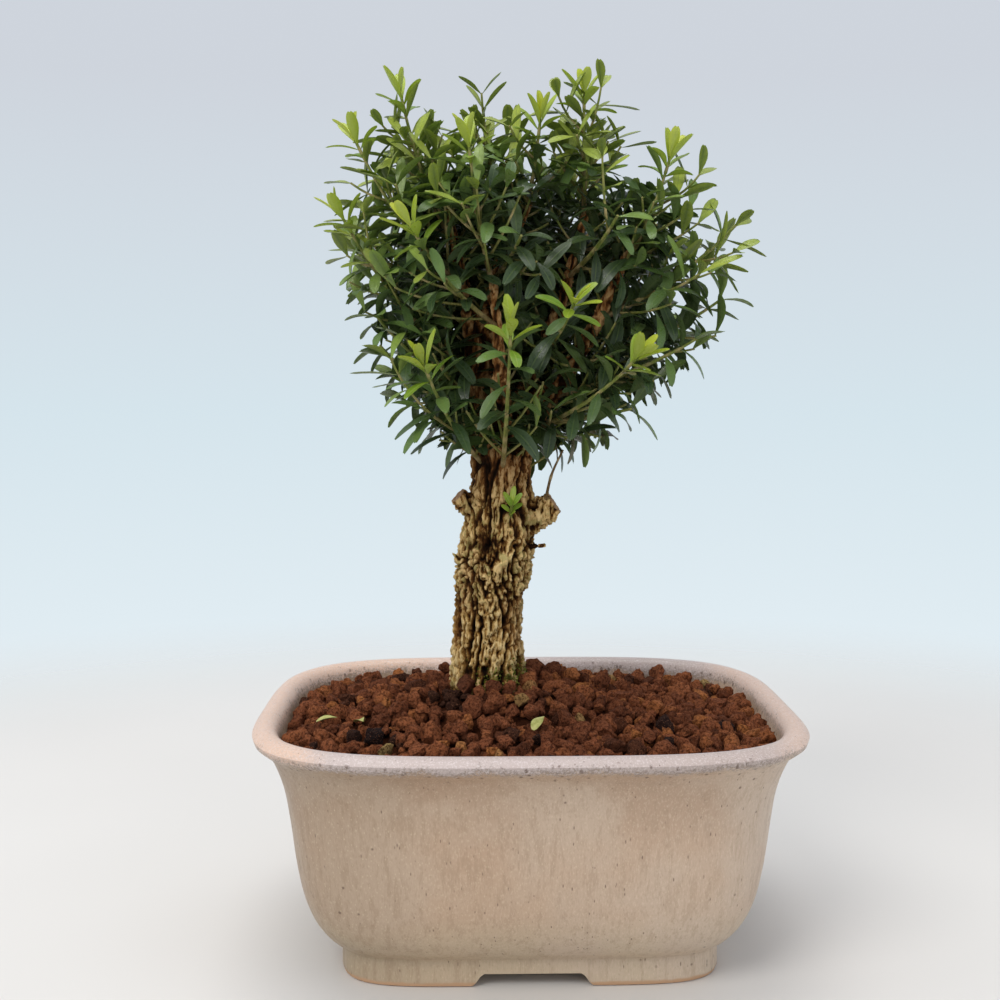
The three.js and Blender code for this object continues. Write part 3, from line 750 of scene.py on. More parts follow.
def twig_material():
    s = Shader("twig")
    grain = s.noise(s.place((1, 1, 0.3)), 2.0, 4)
    old = s.ramp(grain, (0.3, (0.060, 0.034, 0.012)), (0.7, (0.220, 0.130, 0.050)))
    fresh = s.ramp(grain, (0.3, (0.085, 0.120, 0.016)), (0.7, (0.200, 0.235, 0.042)))
    colour = s.mix(s.value("age_and_shade"), fresh, old)
    colour = s.mix(s.value("knot"), colour, (0.480, 0.350, 0.180))
    s.bump(grain, 0.15)
    return s.finish(colour, 0.7, Specular_IOR_Level=0.25)


def grain_material():
    """Crumbly fired clay and lava lumps, red-brown with a few orange, black and yellow ones."""
    s = Shader("soil_grain")
    base = s.ramp(
        s.value("tone"),
        (0.0, (0.014, 0.013, 0.015)),
        (0.018, (0.060, 0.025, 0.015)),
        (0.10, (0.195, 0.062, 0.028)),
        (0.50, (0.305, 0.098, 0.042)),
        (0.88, (0.400, 0.132, 0.052)),
        (0.985, (0.530, 0.190, 0.058)),
        (0.999, (0.460, 0.310, 0.120)),
    )
    rough = s.noise(s.place(), 1.2, 6, 0.75)
    colour = s.mix(s.span(rough, 0.38, 0.58), s.mix(0.82, base, (0.016, 0.004, 0.002)), base)
    dust = s.span(s.noise(s.place(), 2.8, 3), 0.55, 0.70, 0, 0.35)
    colour = s.mix(dust, colour, (0.520, 0.230, 0.130))
    s.bump(s.noise(s.place(), 1.9, 6, 0.8), 1.1)
    return s.finish(colour, 0.95, Specular_IOR_Level=0.08)


def earth_material():
    s = Shader("soil_bed")
    rough = s.noise(s.place(), 0.9, 5, 0.7)
    colour = s.ramp(rough, (0.3, (0.018, 0.006, 0.003)), (0.7, (0.070, 0.022, 0.010)))
    s.bump(rough, 1.2)
    return s.finish(colour, 1.0, Specular_IOR_Level=0.02)


def moss_material():
    s = Shader("moss")
    colour = s.ramp(
        s.value("tone"),
        (0.0, (0.060, 0.070, 0.010)),
        (0.6, (0.150, 0.160, 0.022)),
        (1.0, (0.340, 0.330, 0.070)),
    )
    s.bump(s.noise(s.place(), 3.0, 3), 0.3)
    return s.finish(colour, 0.95, Specular_IOR_Level=0.1)


def fallen_material():
    s = Shader("fallen_leaf")
    blotch = s.noise(s.place(), 0.7, 3)
    colour = s.ramp(blotch, (0.3, (0.26, 0.27, 0.07)), (0.55, (0.42, 0.41, 0.14)), (0.8, (0.56, 0.48, 0.24)))
    s.bump(blotch, 0.1)
    return s.finish(colour, 0.7, Specular_IOR_Level=0.2)


def screen_material():
    s = Shader("drain_mesh")
    grain = s.noise(s.place(), 1.5, 3)
    s.bump(grain, 0.05)
    return s.finish(s.ramp(grain, (0.3, (0.015, 0.015, 0.017)), (0.7, (0.030, 0.030, 0.034))), 0.6)


def floor_material():
    """A pale floor that fades into the studio's backdrop away from the pot."""
    s = Shader("floor")
    haze = s.noise(s.place(), 0.004, 2)
    colour = s.ramp(haze, (0.3, (0.655, 0.632, 0.605)), (0.7, (0.685, 0.662, 0.635)))
    s.finish(colour, 0.7, Specular_IOR_Level=0.2)
    split = s.add("ShaderNodeSeparateXYZ")
    s.feed(split.inputs[0], s.place())
    squares = [s.times(split.outputs[axis], split.outputs[axis]) for axis in ("X", "Y")]
    distance = s.math("SQRT", s.plus(*squares))
    s.feed(s.surface.inputs["Alpha"], s.span(distance, FLOOR_FADE[1], FLOOR_FADE[0]))
    return s.material


def square_off(points):
    """Turns the round plan into the pot's rounded rectangle, as the part does."""
    radius = np.hypot(points[:, 0], points[:, 1])
    safe = np.maximum(radius, 1e-9)
    rise = np.sqrt(np.clip((points[:, 2] - FOOT_HEIGHT) / (POT_HEIGHT - FOOT_HEIGHT), 0, 1))
    power = 2 / (FOOT_SQUARENESS + (RIM_SQUARENESS - FOOT_SQUARENESS) * rise)
    narrower = ((POT_WIDTH - POT_DEPTH) / 2) * np.minimum(1, radius / 45)
    cosine, sine = points[:, 0] / safe, points[:, 1] / safe
    x = np.sign(cosine) * radius * np.abs(cosine) ** power
    y = np.sign(sine) * (radius - narrower) * np.abs(sine) ** power
    return np.column_stack([x, y, points[:, 2]])


def even_angles(count):
    """Angles that square_off spreads evenly round the pot's outline."""
    angle = np.linspace(0, 2 * math.pi, 20001)
    ring = np.column_stack([np.cos(angle), np.sin(angle), np.full(len(angle), 0.08)]) * (60, 60, POT_HEIGHT)
    steps = np.linalg.norm(np.diff(square_off(ring), axis=0), axis=1)
    travelled = np.concatenate([[0], np.cumsum(steps)])
    return np.interp(np.linspace(0, travelled[-1], count, endpoint=False), travelled, angle)


def rounded_run(points, steps):
    """A smooth run through [height, half-width] points."""
    curve = Curve.through([(width, 0, height) for height, width in points], 40)
    samples = curve.at(np.linspace(0, 1, steps))
    return [(sample[2], sample[0]) for sample in samples]


def build_pot():
    half = POT_WIDTH / 2
    foot = half - FOOT_INSET
    wall = [(height, half - inset) for height, inset in OUTER_PROFILE + INNER_PROFILE]
    profile = [(FLOOR_UNDERSIDE, FLOOR_EDGE), (FLOOR_UNDERSIDE, foot - FOOT_LAND - 0.4)]
    profile += [(2, foot - FOOT_LAND), (0.5, foot - FOOT_LAND + 0.5), (0, foot - FOOT_LAND + 1.2)]
    profile += [(0, foot - 5), (0, foot - 1.2), (0.3, foot - 0.3)]
    profile += [(height, foot) for height in (1.2, 2.6, 4, 5.6)] + [(7, foot - 0.1), (7.9, foot - 0.1)]
    rim_inside = len(profile)
    profile += rounded_run(wall, WALL_RINGS) + [(FLOOR_TOP, FLOOR_EDGE)]
    rings, count = len(profile), POT_SEGMENTS
    angle = even_angles(count)
    heights = np.array([height for height, _ in profile])
    widths = np.array([width for _, width in profile])
    points = np.stack([
        np.outer(widths, np.cos(angle)),
        np.outer(widths, np.sin(angle)),
        np.repeat(heights[:, None], count, 1),
    ], -1).reshape(-1, 3)
    points = square_off(points)
    for axis, width in ((0, FRONT_NOTCH_WIDTH), (1, SIDE_NOTCH_WIDTH)):
        off = np.abs(points[:, axis])
        other = np.abs(points[:, 1 - axis])
        lift = FLOOR_UNDERSIDE * smooth_step(width / 2, width / 2 - NOTCH_SHOULDER, off)
        in_foot = (points[:, 2] < FLOOR_UNDERSIDE) & (other > 30)
        points[:, 2] = np.where(in_foot, np.maximum(points[:, 2], lift), points[:, 2])
    ring = np.repeat(np.arange(rings), count)
    inside = smooth_step(POT_HEIGHT + 1, POT_HEIGHT - 2.5, points[:, 2]) * (ring > rim_inside + LIP_RINGS)
    wobble = np.array([noise_at(x * 0.03, y * 0.03, z * 0.05) for x, y, z in points])
    outward = points[:, :2] / np.maximum(1e-6, np.hypot(points[:, 0], points[:, 1]))[:, None]
    above = smooth_step(7, 14, points[:, 2]) * smooth_step(POT_HEIGHT + 4, 60, points[:, 2])
    points[:, :2] += outward * (wobble * above * GLAZE_WOBBLE)[:, None]
    shell = make_object(
        "pot_shell", points, ring_faces(rings, count), [glaze_material()], {"inside": inside}, sharp=POT_CREASE,
    )
    floor_plate(shell, count, rings)
    hold(shell, "glazed_stoneware", "pot")


def floor_plate(shell, count, rings):
    """Joins the floor's two faces across the middle, round the two drain holes."""
    segments = DRAIN_HOLE_SEGMENTS
    turn = round_angles(segments)
    circle = [(DRAIN_HOLE_RADIUS * math.cos(a), DRAIN_HOLE_RADIUS * math.sin(a)) for a in turn]
    mesh = shell.data
    work = bmesh.new()
    work.from_mesh(mesh)
    work.verts.ensure_lookup_table()
    for first, height in ((0, FLOOR_UNDERSIDE), ((rings - 1) * count, FLOOR_TOP)):
        edge_verts = [work.verts[first + step] for step in range(count)]
        edges = [work.edges.get((edge_verts[k], edge_verts[(k + 1) % count])) for k in range(count)]
        for x in (-DRAIN_HOLE_X, DRAIN_HOLE_X):
            loop = [work.verts.new(((x + right) * MM, back * MM, height * MM)) for right, back in circle]
            edges += [work.edges.new((loop[k], loop[(k + 1) % segments])) for k in range(segments)]
        bmesh.ops.triangle_fill(work, use_beauty=True, use_dissolve=False, edges=edges)
        work.verts.ensure_lookup_table()
    work.verts.index_update()
    base = len(work.verts) - 4 * segments
    work.verts.ensure_lookup_table()
    for hole in range(2):
        low = base + hole * segments
        high = base + (2 + hole) * segments
        for k in range(segments):
            after = (k + 1) % segments
            corners = (low + k, high + k, high + after, low + after)
            work.faces.new([work.verts[corner] for corner in corners])
    bmesh.ops.recalc_face_normals(work, faces=work.faces)
    work.to_mesh(mesh)
    work.free()
    mesh.shade_smooth()
    mesh.set_sharp_from_angle(angle=math.radians(FLOOR_CREASE))


def soil_height(x, y):
    spread = np.hypot(x - TRUNK_AT_SOIL[0], y - TRUNK_AT_SOIL[1]) / MOUND_REACH
    return SOIL_EDGE_HEIGHT + MOUND_HEIGHT * np.exp(-spread * spread)


def soil_outline(height):
    """Half-width of the pot's inside at a height."""
    heights, insets = zip(*INNER_PROFILE[::-1])
    return POT_WIDTH / 2 - float(np.interp(height, heights, insets))


def inside_pot(x, y, margin):
    """Whether a place on the soil lies inside the pot's wall by a margin."""
    half = soil_outline(SOIL_TOP + 0.5) - margin
    deep = half - (POT_WIDTH - POT_DEPTH) / 2
    return abs(x / half) ** RIM_SQUARENESS + abs(y / deep) ** RIM_SQUARENESS < 1


def ico(level):
    work = bmesh.new()
    bmesh.ops.create_icosphere(work, subdivisions=level, radius=1)
    points = np.array([vert.co[:] for vert in work.verts])
    faces = np.array([[vert.index for vert in face.verts] for face in work.faces])
    work.free()
    return points, faces


def lump_shapes(level, count, seed, triangles=None):
    """Rough lumps: a ball pushed in and out by noise and trimmed by flat breaks, then thinned."""
    ball, faces = ico(level)
    random = np.random.default_rng(seed)
    shapes = []
    for _ in range(count):
        shift = Vector(random.uniform(-50, 50, 3))
        reach = np.array([
            1 + 0.34 * noise.noise(Vector(point) * 1.2 + shift)
            + 0.30 * noise.noise(Vector(point) * 2.6 + shift) + 0.20 * noise.noise(Vector(point) * 5.2 + shift)
            for point in ball
        ])
        shape = ball * reach[:, None]
        for _ in range(6):
            flat = unit(random.normal(size=3))
            depth = random.uniform(0.52, 0.82)
            over = np.maximum(0, shape @ flat - depth)
            shape = shape - flat * (over * 0.94)[:, None]
        shape = shape * random.uniform(0.78, 1.15, 3)
        shapes.append(thinned(shape, faces, triangles) if triangles else (shape, faces))
    return shapes


def thinned(points, faces, triangles):
    """The same lump with fewer triangles, as points and faces."""
    lump = make_object("lump", points / MM, faces, [])
    modifier = lump.modifiers.new("thin", "DECIMATE")
    modifier.ratio = triangles / len(faces)
    graph = bpy.context.evaluated_depsgraph_get()
    mesh = lump.evaluated_get(graph).to_mesh()
    points = np.array([vert.co[:] for vert in mesh.vertices])
    faces = np.array([face.vertices[:] for face in mesh.polygons])
    bpy.data.objects.remove(lump)
    return points, faces


def random_turn(random):
    """A random rotation matrix."""
    w, x, y, z = unit(random.normal(size=4))
    return np.array([
        [1 - 2 * (y * y + z * z), 2 * (x * y - z * w), 2 * (x * z + y * w)],
        [2 * (x * y + z * w), 1 - 2 * (x * x + z * z), 2 * (y * z - x * w)],
        [2 * (x * z - y * w), 2 * (y * z + x * w), 1 - 2 * (x * x + y * y)],
    ])


def scatter_places(random, spacing, tries):
    """Places on the soil that keep a distance from each other."""
    kept = []
    cell = {}
    for _ in range(tries):
        x = random.uniform(-POT_WIDTH / 2, POT_WIDTH / 2)
        y = random.uniform(-POT_DEPTH / 2, POT_DEPTH / 2)
        gap = spacing * random.uniform(0.74, 1.28)
        from_trunk = math.hypot(x - TRUNK_AT_SOIL[0], y - TRUNK_AT_SOIL[1])
        if not inside_pot(x, y, 0.4 + 0.4 * gap) or from_trunk < TRUNK_AT_SOIL[3] + 0.5:
            continue
        key = (int(x // spacing), int(y // spacing))
        around = [(key[0] + i, key[1] + j) for i in range(-2, 3) for j in range(-2, 3)]
        near = [place for square in around for place in cell.get(square, [])]
        if all((p[0] - x) ** 2 + (p[1] - y) ** 2 > ((p[2] + gap) / 2) ** 2 for p in near):
            cell.setdefault(key, []).append((x, y, gap))
            kept.append((x, y, gap))
    return kept


def under_leaves(points):
    """A lump sunk until its top is under any fallen leaf that lies over it."""
    middle = points.mean(axis=0)
    for number, (x, y, _, length) in enumerate(FALLEN_LEAVES):
        low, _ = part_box(f"fallen_leaf_{number + 1}")
        if math.hypot(middle[0] - x, middle[1] - y) < length / 2 + 2.2:
            points[:, 2] -= max(0, points[:, 2].max() - low[2] / MM - 0.3)
    return points


def lump_piece(name, lumps, material, sharp=None):
    """One piece from lumps given as points, faces and tone."""
    points, faces, tones = zip(*lumps)
    starts = np.concatenate([[0], np.cumsum([len(shape) for shape in points])[:-1]])
    return make_object(
        name, np.concatenate(points), np.concatenate([block + start for block, start in zip(faces, starts)]),
        [material], {"tone": np.repeat(tones, [len(shape) for shape in points])}, sharp=sharp,
    )


def lay_lumps(name, places, shapes, random, material, size, lift):
    lumps = []
    for x, y, gap in places:
        shape, faces = shapes[random.integers(len(shapes))]
        radius = gap * size * random.uniform(0.74, 1.2)
        centre = np.array([x, y, float(soil_height(x, y)) + lift + random.uniform(-0.8, 0.7)])
        points = under_leaves(shape @ random_turn(random).T * radius + centre)
        tone = random.random()
        from_patch = (x - DARK_PATCH[0]) ** 2 + (y - DARK_PATCH[1]) ** 2
        if random.random() < DARK_SHARE * math.exp(-from_patch / DARK_PATCH_SPREAD):
            tone = DARK_TONE
        lumps.append((points, faces, tone))
    hold(lump_piece(name, lumps, material, LUMP_CREASE), "soil_grains", "soil")


def build_soil():
    hold(soil_bed(), "soil_grains", "soil")
    random = np.random.default_rng(SOIL_SEED)
    material = grain_material()
    fine = lump_shapes(2, GRAIN_SHAPES, FINE_LUMP_SEED, FINE_TRIANGLES)
    coarse = lump_shapes(3, GRAIN_SHAPES, COARSE_LUMP_SEED, COARSE_TRIANGLES)
    low = scatter_places(random, FINE_SPACING, SCATTER_TRIES)
    lay_lumps("soil_grains_low", low, fine, random, material, 0.6, -1.0)
    top = scatter_places(random, COARSE_SPACING, SCATTER_TRIES)
    for name, side in (("left", -1), ("right", 1)):
        places = [place for place in top if place[0] * side > 0]
        lay_lumps(f"soil_grains_{name}", places, coarse, random, material, 0.54, 0.5)
    lay_lumps("soil_grains_heaped", HEAPED_LUMPS, coarse, random, material, 0.55, 4.0)


def soil_bed():
    """The closed body of the soil under its loose lumps."""
    count = BED_SEGMENTS
    angle = round_angles(count)
    inner = [(height, POT_WIDTH / 2 - inset - CLEARANCE) for height, inset in INNER_PROFILE]
    columns = [(FLOOR_TOP + CLEARANCE, inner[-1][1] * share) for share in np.linspace(0.02, 0.98, 6)]
    columns += [
        (max(height, FLOOR_TOP + CLEARANCE), width) for height, width in inner[::-1] if height < SOIL_TOP - 1
    ]
    columns += [(SOIL_TOP - 0.5, soil_outline(SOIL_TOP - 0.5) - 0.4)]
    buried = len(columns) * count
    reach = soil_outline(SOIL_TOP) - 0.4
    columns += [(POT_HEIGHT, reach * share) for share in np.linspace(0.985, 0.02, BED_RINGS)]
    points = np.concatenate([
        np.column_stack([width * np.cos(angle), width * np.sin(angle), np.full(count, height)])
        for height, width in columns
    ])
    top = np.arange(len(points)) >= buried
    points = square_off(points)
    ripple = np.array([noise_at(x * 0.35, y * 0.35, 3.0) for x, y, _ in points])
    surface = soil_height(points[:, 0], points[:, 1]) - BED_DEPTH + BED_RIPPLE * ripple
    points[:, 2] = np.where(top, surface, points[:, 2])
    total = len(points) // count
    caps = []
    for row in (0, total - 1):
        points = np.vstack([points, points[row * count:(row + 1) * count].mean(0)])
        caps.append(cap_faces(row * count, count, len(points) - 1, row == 0))
    return make_object("soil_bed", points, [ring_faces(total, count), np.concatenate(caps)], [earth_material()])


def tube(curve, radius_at, sides, rows):
    """A closed tube about a curve, with a steady frame carried along it."""
    shares = np.linspace(0, 1, rows + 1)
    places = curve.at(shares)
    normal = None
    points = []
    angle = round_angles(sides)
    for row, share in enumerate(shares):
        tangent = curve.tangent(share)
        if normal is None:
            normal = unit(np.cross(tangent, UP if abs(tangent[2]) < 0.9 else np.array([0.0, 1.0, 0.0])))
        normal = square_to(normal, tangent)
        binormal = np.cross(tangent, normal)
        ring = np.outer(np.cos(angle), normal) + np.outer(np.sin(angle), binormal)
        points.append(places[row] + radius_at(share) * ring)
    points = np.vstack([*points, places[0], places[-1]])
    caps = np.concatenate([
        cap_faces(0, sides, len(points) - 2, True), cap_faces(rows * sides, sides, len(points) - 1, False),
    ])
    return points, ring_faces(rows + 1, sides), caps


def join_parts(parts):
    points, quads, caps, offset = [], [], [], 0
    for part_points, part_quads, part_caps in parts:
        points.append(part_points)
        quads.append(part_quads + offset)
        caps.append(part_caps + offset)
        offset += len(part_points)
    return np.concatenate(points), [np.concatenate(quads), np.concatenate(caps)]


def trunk_parts():
    """The stem with its stubs and the feet of its limbs, and the limbs above the neck."""
    heights = [point[2] for point in TRUNK]
    radii = [point[3] for point in TRUNK]
    stem = Curve.through([point[:3] for point in TRUNK])
    low = [tube(stem, lambda share: float(np.interp(stem.at(share)[2], heights, radii)), 48, 90)]
    high = []
    for limb in LIMB_CURVES.values():
        split = float(np.interp(NECK_TOP, limb.samples[:, 2], limb.lengths)) / limb.length
        for parts, first, last in ((low, 0, split), (high, split - 0.04, 1)):
            piece = Curve(limb.at(np.linspace(first, last, 80)))
            parts.append(tube(piece, lambda share, a=first, b=last: limb_radius(a + (b - a) * share), 20, 40))
    for start, end, radius, tip_radius in STUBS:
        low.append(tube(Curve([start, end]), taper(radius, tip_radius), 20, 10))
    return low, high


def remeshed(parts, voxel):
    """One skin round overlapping parts, with its places and normals in millimetres."""
    points, faces = join_parts(parts)
    skin = make_object("skin", points, faces, [])
    modifier = skin.modifiers.new("remesh", "REMESH")
    modifier.mode = "VOXEL"
    modifier.voxel_size = voxel * MM
    skin.modifiers.new("smooth", "SMOOTH").iterations = 5
    graph = bpy.context.evaluated_depsgraph_get()
    mesh = bpy.data.meshes.new_from_object(skin.evaluated_get(graph))
    bpy.data.objects.remove(skin)
    places, normals = (np.empty(len(mesh.vertices) * 3, np.float32) for _ in range(2))
    mesh.vertices.foreach_get("co", places)
    mesh.vertices.foreach_get("normal", normals)
    return mesh, places.reshape(-1, 3).astype(float) / MM, normals.reshape(-1, 3).astype(float)


def build_trunk():
    """The bark is grown on a remeshed skin, as upright cork ridges parted by deep cracks."""
    material = bark_material()
    low, high = trunk_parts()
    skins = []
    for name, parts, voxel in (("trunk_bark", low, BARK_VOXEL), ("limb_bark", high, LIMB_VOXEL)):
        mesh, places, normals = remeshed(parts, voxel)
        moved, masks = bark_relief(places, normals)
        mesh.vertices.foreach_set("co", (moved * MM).astype(np.float32).ravel())
        for key, values in masks.items():
            mesh.attributes.new(key, "FLOAT", "POINT").data.foreach_set("value", values.astype(np.float32))
        mesh.materials.clear()
        mesh.materials.append(material)
        mesh.shade_smooth()
        mesh.update()
        hold(place_object(name, mesh), "cork_bark", "trunk")
        skins.append((moved, normals))
    return skins[0]


def gauss(distance, width):
    return math.exp(-((distance / width) ** 2))


def drift(x, y, z):
    """Three independent noise values at a place."""
    return [noise_at(x + shift, y - shift, z + 0.7 * shift) for shift in (0.0, 17.3, 41.9)]


def cork(point, across, along, seed):
    """Height of one layer of cork, 0 in its cracks to 1 on its ridges. Cracks follow the grain."""
    x, y, z = point
    first = abs(noise_at(x * across + seed, y * across, z * along))
    second = abs(noise_at(x * across * 2.2, y * across * 2.2 + seed, z * along * 2.4))
    breaks = abs(noise_at(x * across * 0.9, y * across * 0.9, z * along * 3.2 + seed))
    height = 0.55 * min(1, first / 0.26) + 0.45 * (1 - gauss(first, 0.13))
    height *= 0.45 + 0.55 * min(1, second / 0.20)
    return height * (0.70 + 0.30 * min(1, breaks / 0.07))


def bark_relief(places, normals):
    """The skin pushed out to ridges and in to cracks, and the masks that colour it."""
    limb = smooth_step(*LIMB_START, places[:, 2])
    sawn, blunt = np.zeros(len(places)), np.zeros(len(places))
    for start, end, _, _ in STUBS[:2]:
        axis = unit(np.subtract(end, start).astype(float))
        past = (places - np.asarray(end, float)) @ axis
        near = np.linalg.norm(places - np.asarray(end, float), axis=1) < 7
        sawn = np.maximum(sawn, smooth_step(-0.8, -0.2, past) * near)
        blunt = np.maximum(blunt, smooth_step(-3.5, -0.3, past) * near)
    crest, relief, moss = np.zeros(len(places)), np.zeros(len(places)), np.zeros(len(places))
    knot_axis = unit(np.array(KNOT_AXIS))
    for index, (x, y, z) in enumerate(places):
        wide, fine = drift(x * 0.09, y * 0.09, z * 0.045), drift(x * 0.55, y * 0.55, z * 0.40)
        warp = [3.4 * a + 0.75 * b for a, b in zip(wide, fine)]
        point = (x + warp[0], y + warp[1], z + warp[2] * 2)
        middle = gauss(z - BELLY_HEIGHT, BELLY_SPREAD)
        high = smooth_step(*NECK_START, z)
        height = cork(point, 0.33, 0.040, 3.7)
        if middle > 0.02:
            height += (cork(point, 0.42, 0.20, 11.3) - height) * middle
        if high > 0:
            height += (cork(point, 0.24, 0.06, 23.1) - height) * high * 0.8
        rough = noise_at(x * 0.9, y * 0.9, z * 0.5)
        rough += 0.5 * noise_at(x * 1.8, y * 1.8, z * 0.9)
        flake = 1 - 2.4 * abs(noise_at(x * 1.15, y * 1.15, z * 0.22 + 7))
        smooth = smooth_step(0.26, 0.42, noise_at(x * 0.11, y * 0.11 + 9, z * 0.06)) * high * 0.7
        knot = np.array([x, y, z]) - KNOT_PLACE
        along = float(knot @ knot_axis)
        aside = float(np.linalg.norm(knot - knot_axis * along))
        knot_share = gauss(along, 3.6) * gauss(aside, 1.5)
        height += (0.9 - height) * max(smooth, knot_share)
        hollow = gauss(x - HOLLOW_PLACE[0], 2.3) * gauss(z - HOLLOW_PLACE[2], 3.2) * (y < -4)
        # The crest mask is low in the cracks and the hollow and high on the ridges and the knot. The bark
        # coloured by it carries painted shade and painted highlight as well as its own colour.
        crest[index] = height * (1 - 0.9 * hollow) + 0.26 * rough + 0.20 * flake + 0.2 * knot_share
        swell = noise_at(x * 0.12, y * 0.12, z * 0.045 + 4)
        lifted = height - 0.6 * max(0, 0.4 - height) + 0.26 * rough + 0.20 * flake
        relief[index] = lifted + 0.50 * swell - 2.0 * hollow + 0.8 * knot_share
        damp = smooth_step(*MOSS_HEIGHTS, z) * smooth_step(-16, -6, x) * (y < 4)
        moss[index] = damp * smooth_step(-0.1, 0.25, rough)
    rank = np.empty(len(places))
    rank[np.argsort(crest)] = np.linspace(0, 1, len(places))
    depth = (BARK_DEPTH + (LIMB_BARK_DEPTH - BARK_DEPTH) * limb) * (1 - 0.7 * blunt)
    depth *= np.clip((places[:, 2] - BURIED) / 8, 0, 1) * smooth_step(*BARK_FADE, places[:, 2])
    for _, end, radius, _ in STUBS[2:]:
        away = np.linalg.norm(places - np.asarray(end, float), axis=1)
        depth *= smooth_step(radius + 0.5, radius + 3.5, away)
    shift = (relief - 0.86) * depth - 0.5 * blunt
    return places + normals * shift[:, None], {"crest": rank, "limb": limb, "sawn": sawn, "moss": moss * 0.8}


class Blade:
    """The grid of one closed leaf blade: share along, place across and side of each point."""

    def __init__(self, along_steps, across_steps):
        u = 1 - (1 - np.linspace(0, 1, along_steps + 1)) ** 1.25
        v = np.linspace(-1, 1, across_steps + 1)
        columns = across_steps + 1
        grid = [(a, b, 1.0) for a in u for b in v]
        under = {}
        for i in range(along_steps + 1):
            for j in range(columns):
                if i in (0, along_steps) or j in (0, across_steps):
                    under[i, j] = i * columns + j
                else:
                    under[i, j] = len(grid)
                    grid.append((u[i], v[j], -1.0))
        faces = []
        for i in range(along_steps):
            for j in range(across_steps):
                corner = i * columns + j
                faces.append([corner, corner + 1, corner + columns + 1, corner + columns])
                faces.append([under[i, j], under[i + 1, j], under[i + 1, j + 1], under[i, j + 1]])
        self.grid, self.faces = np.array(grid), np.array(faces)
        rim = (np.abs(self.grid[:, 1]) > 0.999) | (self.grid[:, 0] > 0.999) | (self.grid[:, 0] < 0.001)
        self.side = np.where(rim, 0.0, self.grid[:, 2])

    def shape(self, length, width, bend, fold, twist, notch, widest):
        """One boxwood blade: narrow at its foot, widest past the middle, with a round notched tip."""
        u, v = self.grid[:, 0], self.grid[:, 1]
        outline = 0.15 + 0.85 * smooth_step(0.0, widest, u) ** 0.85
        outline = outline * np.sqrt(np.clip(1 - (np.clip(u - widest, 0, 1) / (1.02 - widest)) ** 2, 0, 1))
        x = v * outline * width / 2
        reach = u - notch * smooth_step(0.75, 1, u) * np.exp(-(v / 0.35) ** 2)
        theta = bend * reach
        turn = max(abs(bend), 1e-3) * (1 if bend >= 0 else -1)
        y = length * np.sin(theta) / turn
        z = -length * (1 - np.cos(theta)) / turn
        z = z + fold * width * 0.5 * (np.abs(v) ** 1.4) * outline
        z = z + self.side * 0.24 * (1 - v * v) * np.minimum(1, u * 6)
        z = z - 0.10 * np.exp(-(v / 0.22) ** 2) * (self.side > 0) * np.minimum(1, u * 5)
        return np.column_stack([x * np.cos(twist * u), y, z + x * np.sin(twist * u)])


FINE_BLADE = Blade(8, 4)
PLAIN_BLADE = Blade(6, 2)


class Foliage:
    """Gathers the blades and twigs of one node's piece."""

    def __init__(self):
        self.points, self.quads, self.tris = [], [], []
        self.values = {key: [] for key in ("tone", "age_and_shade", "across", "under", "bronze", "knot")}
        self.quad_kind, self.tri_kind = [], []
        self.offset = 0

    def note(self, count, *numbers):
        for store, number in zip(self.values.values(), numbers):
            store.append(np.broadcast_to(np.asarray(number, float), (count,)))

    def add_leaf(self, blade, root, axis, face, length, width, random, tone, age_and_shade, bend, bronze):
        shape = blade.shape(
            length, width, bend, random.uniform(0.1, 0.4), random.uniform(-0.3, 0.3),
            random.uniform(0.0, 0.04), random.uniform(0.48, 0.66),
        )
        self.points.append(shape @ np.stack([unit(np.cross(axis, face)), axis, face]) + root)
        self.quads.append(blade.faces + self.offset)
        self.quad_kind.append(np.zeros(len(blade.faces), int))
        self.note(len(shape), tone, age_and_shade, np.abs(blade.grid[:, 1]), (1 - blade.side) / 2, bronze, 0.0)
        self.offset += len(shape)

    def add_tube(self, curve, radius_at, sides, rows, tone, age_at, knots=()):
        points, quads, caps = tube(curve, radius_at, sides, rows)
        shares = np.concatenate([np.repeat(np.linspace(0, 1, rows + 1), sides), [0, 1]])
        knot = np.zeros(len(shares))
        for place in knots:
            knot = np.maximum(knot, np.exp(-((shares - place) * curve.length / 0.8) ** 2))
        self.points.append(points)
        self.quads.append(quads + self.offset)
        self.tris.append(caps + self.offset)
        self.quad_kind.append(np.ones(len(quads), int))
        self.tri_kind.append(np.ones(len(caps), int))
        self.note(len(points), tone, age_at(shares), 1.0, 0.0, 0.0, knot * 0.7)
        self.offset += len(points)

    def build(self, name, blade, stem):
        return make_object(
            name, np.concatenate(self.points),
            [np.concatenate(self.quads), np.concatenate(self.tris)], [blade, stem],
            {key: np.concatenate(values) for key, values in self.values.items()},
            np.concatenate(self.quad_kind + self.tri_kind), sharp=LEAF_CREASE,
        )


def arched(base, tip, out, up, steps):
    """A twig that first runs out and then turns up to its tip."""
    end = np.array(tip, float)
    return Curve.bezier(base, base + (end - base) * np.array([out, out, up]), end, steps)


def shoot_curve(shoot):
    limb, along, tip, _ = shoot
    return arched(LIMB_CURVES[limb].at(along), tip, 0.62, 0.4, 200)


def sideways(stem, degrees):
    level = unit(np.cross(stem, UP))
    return turned(level, stem, degrees)


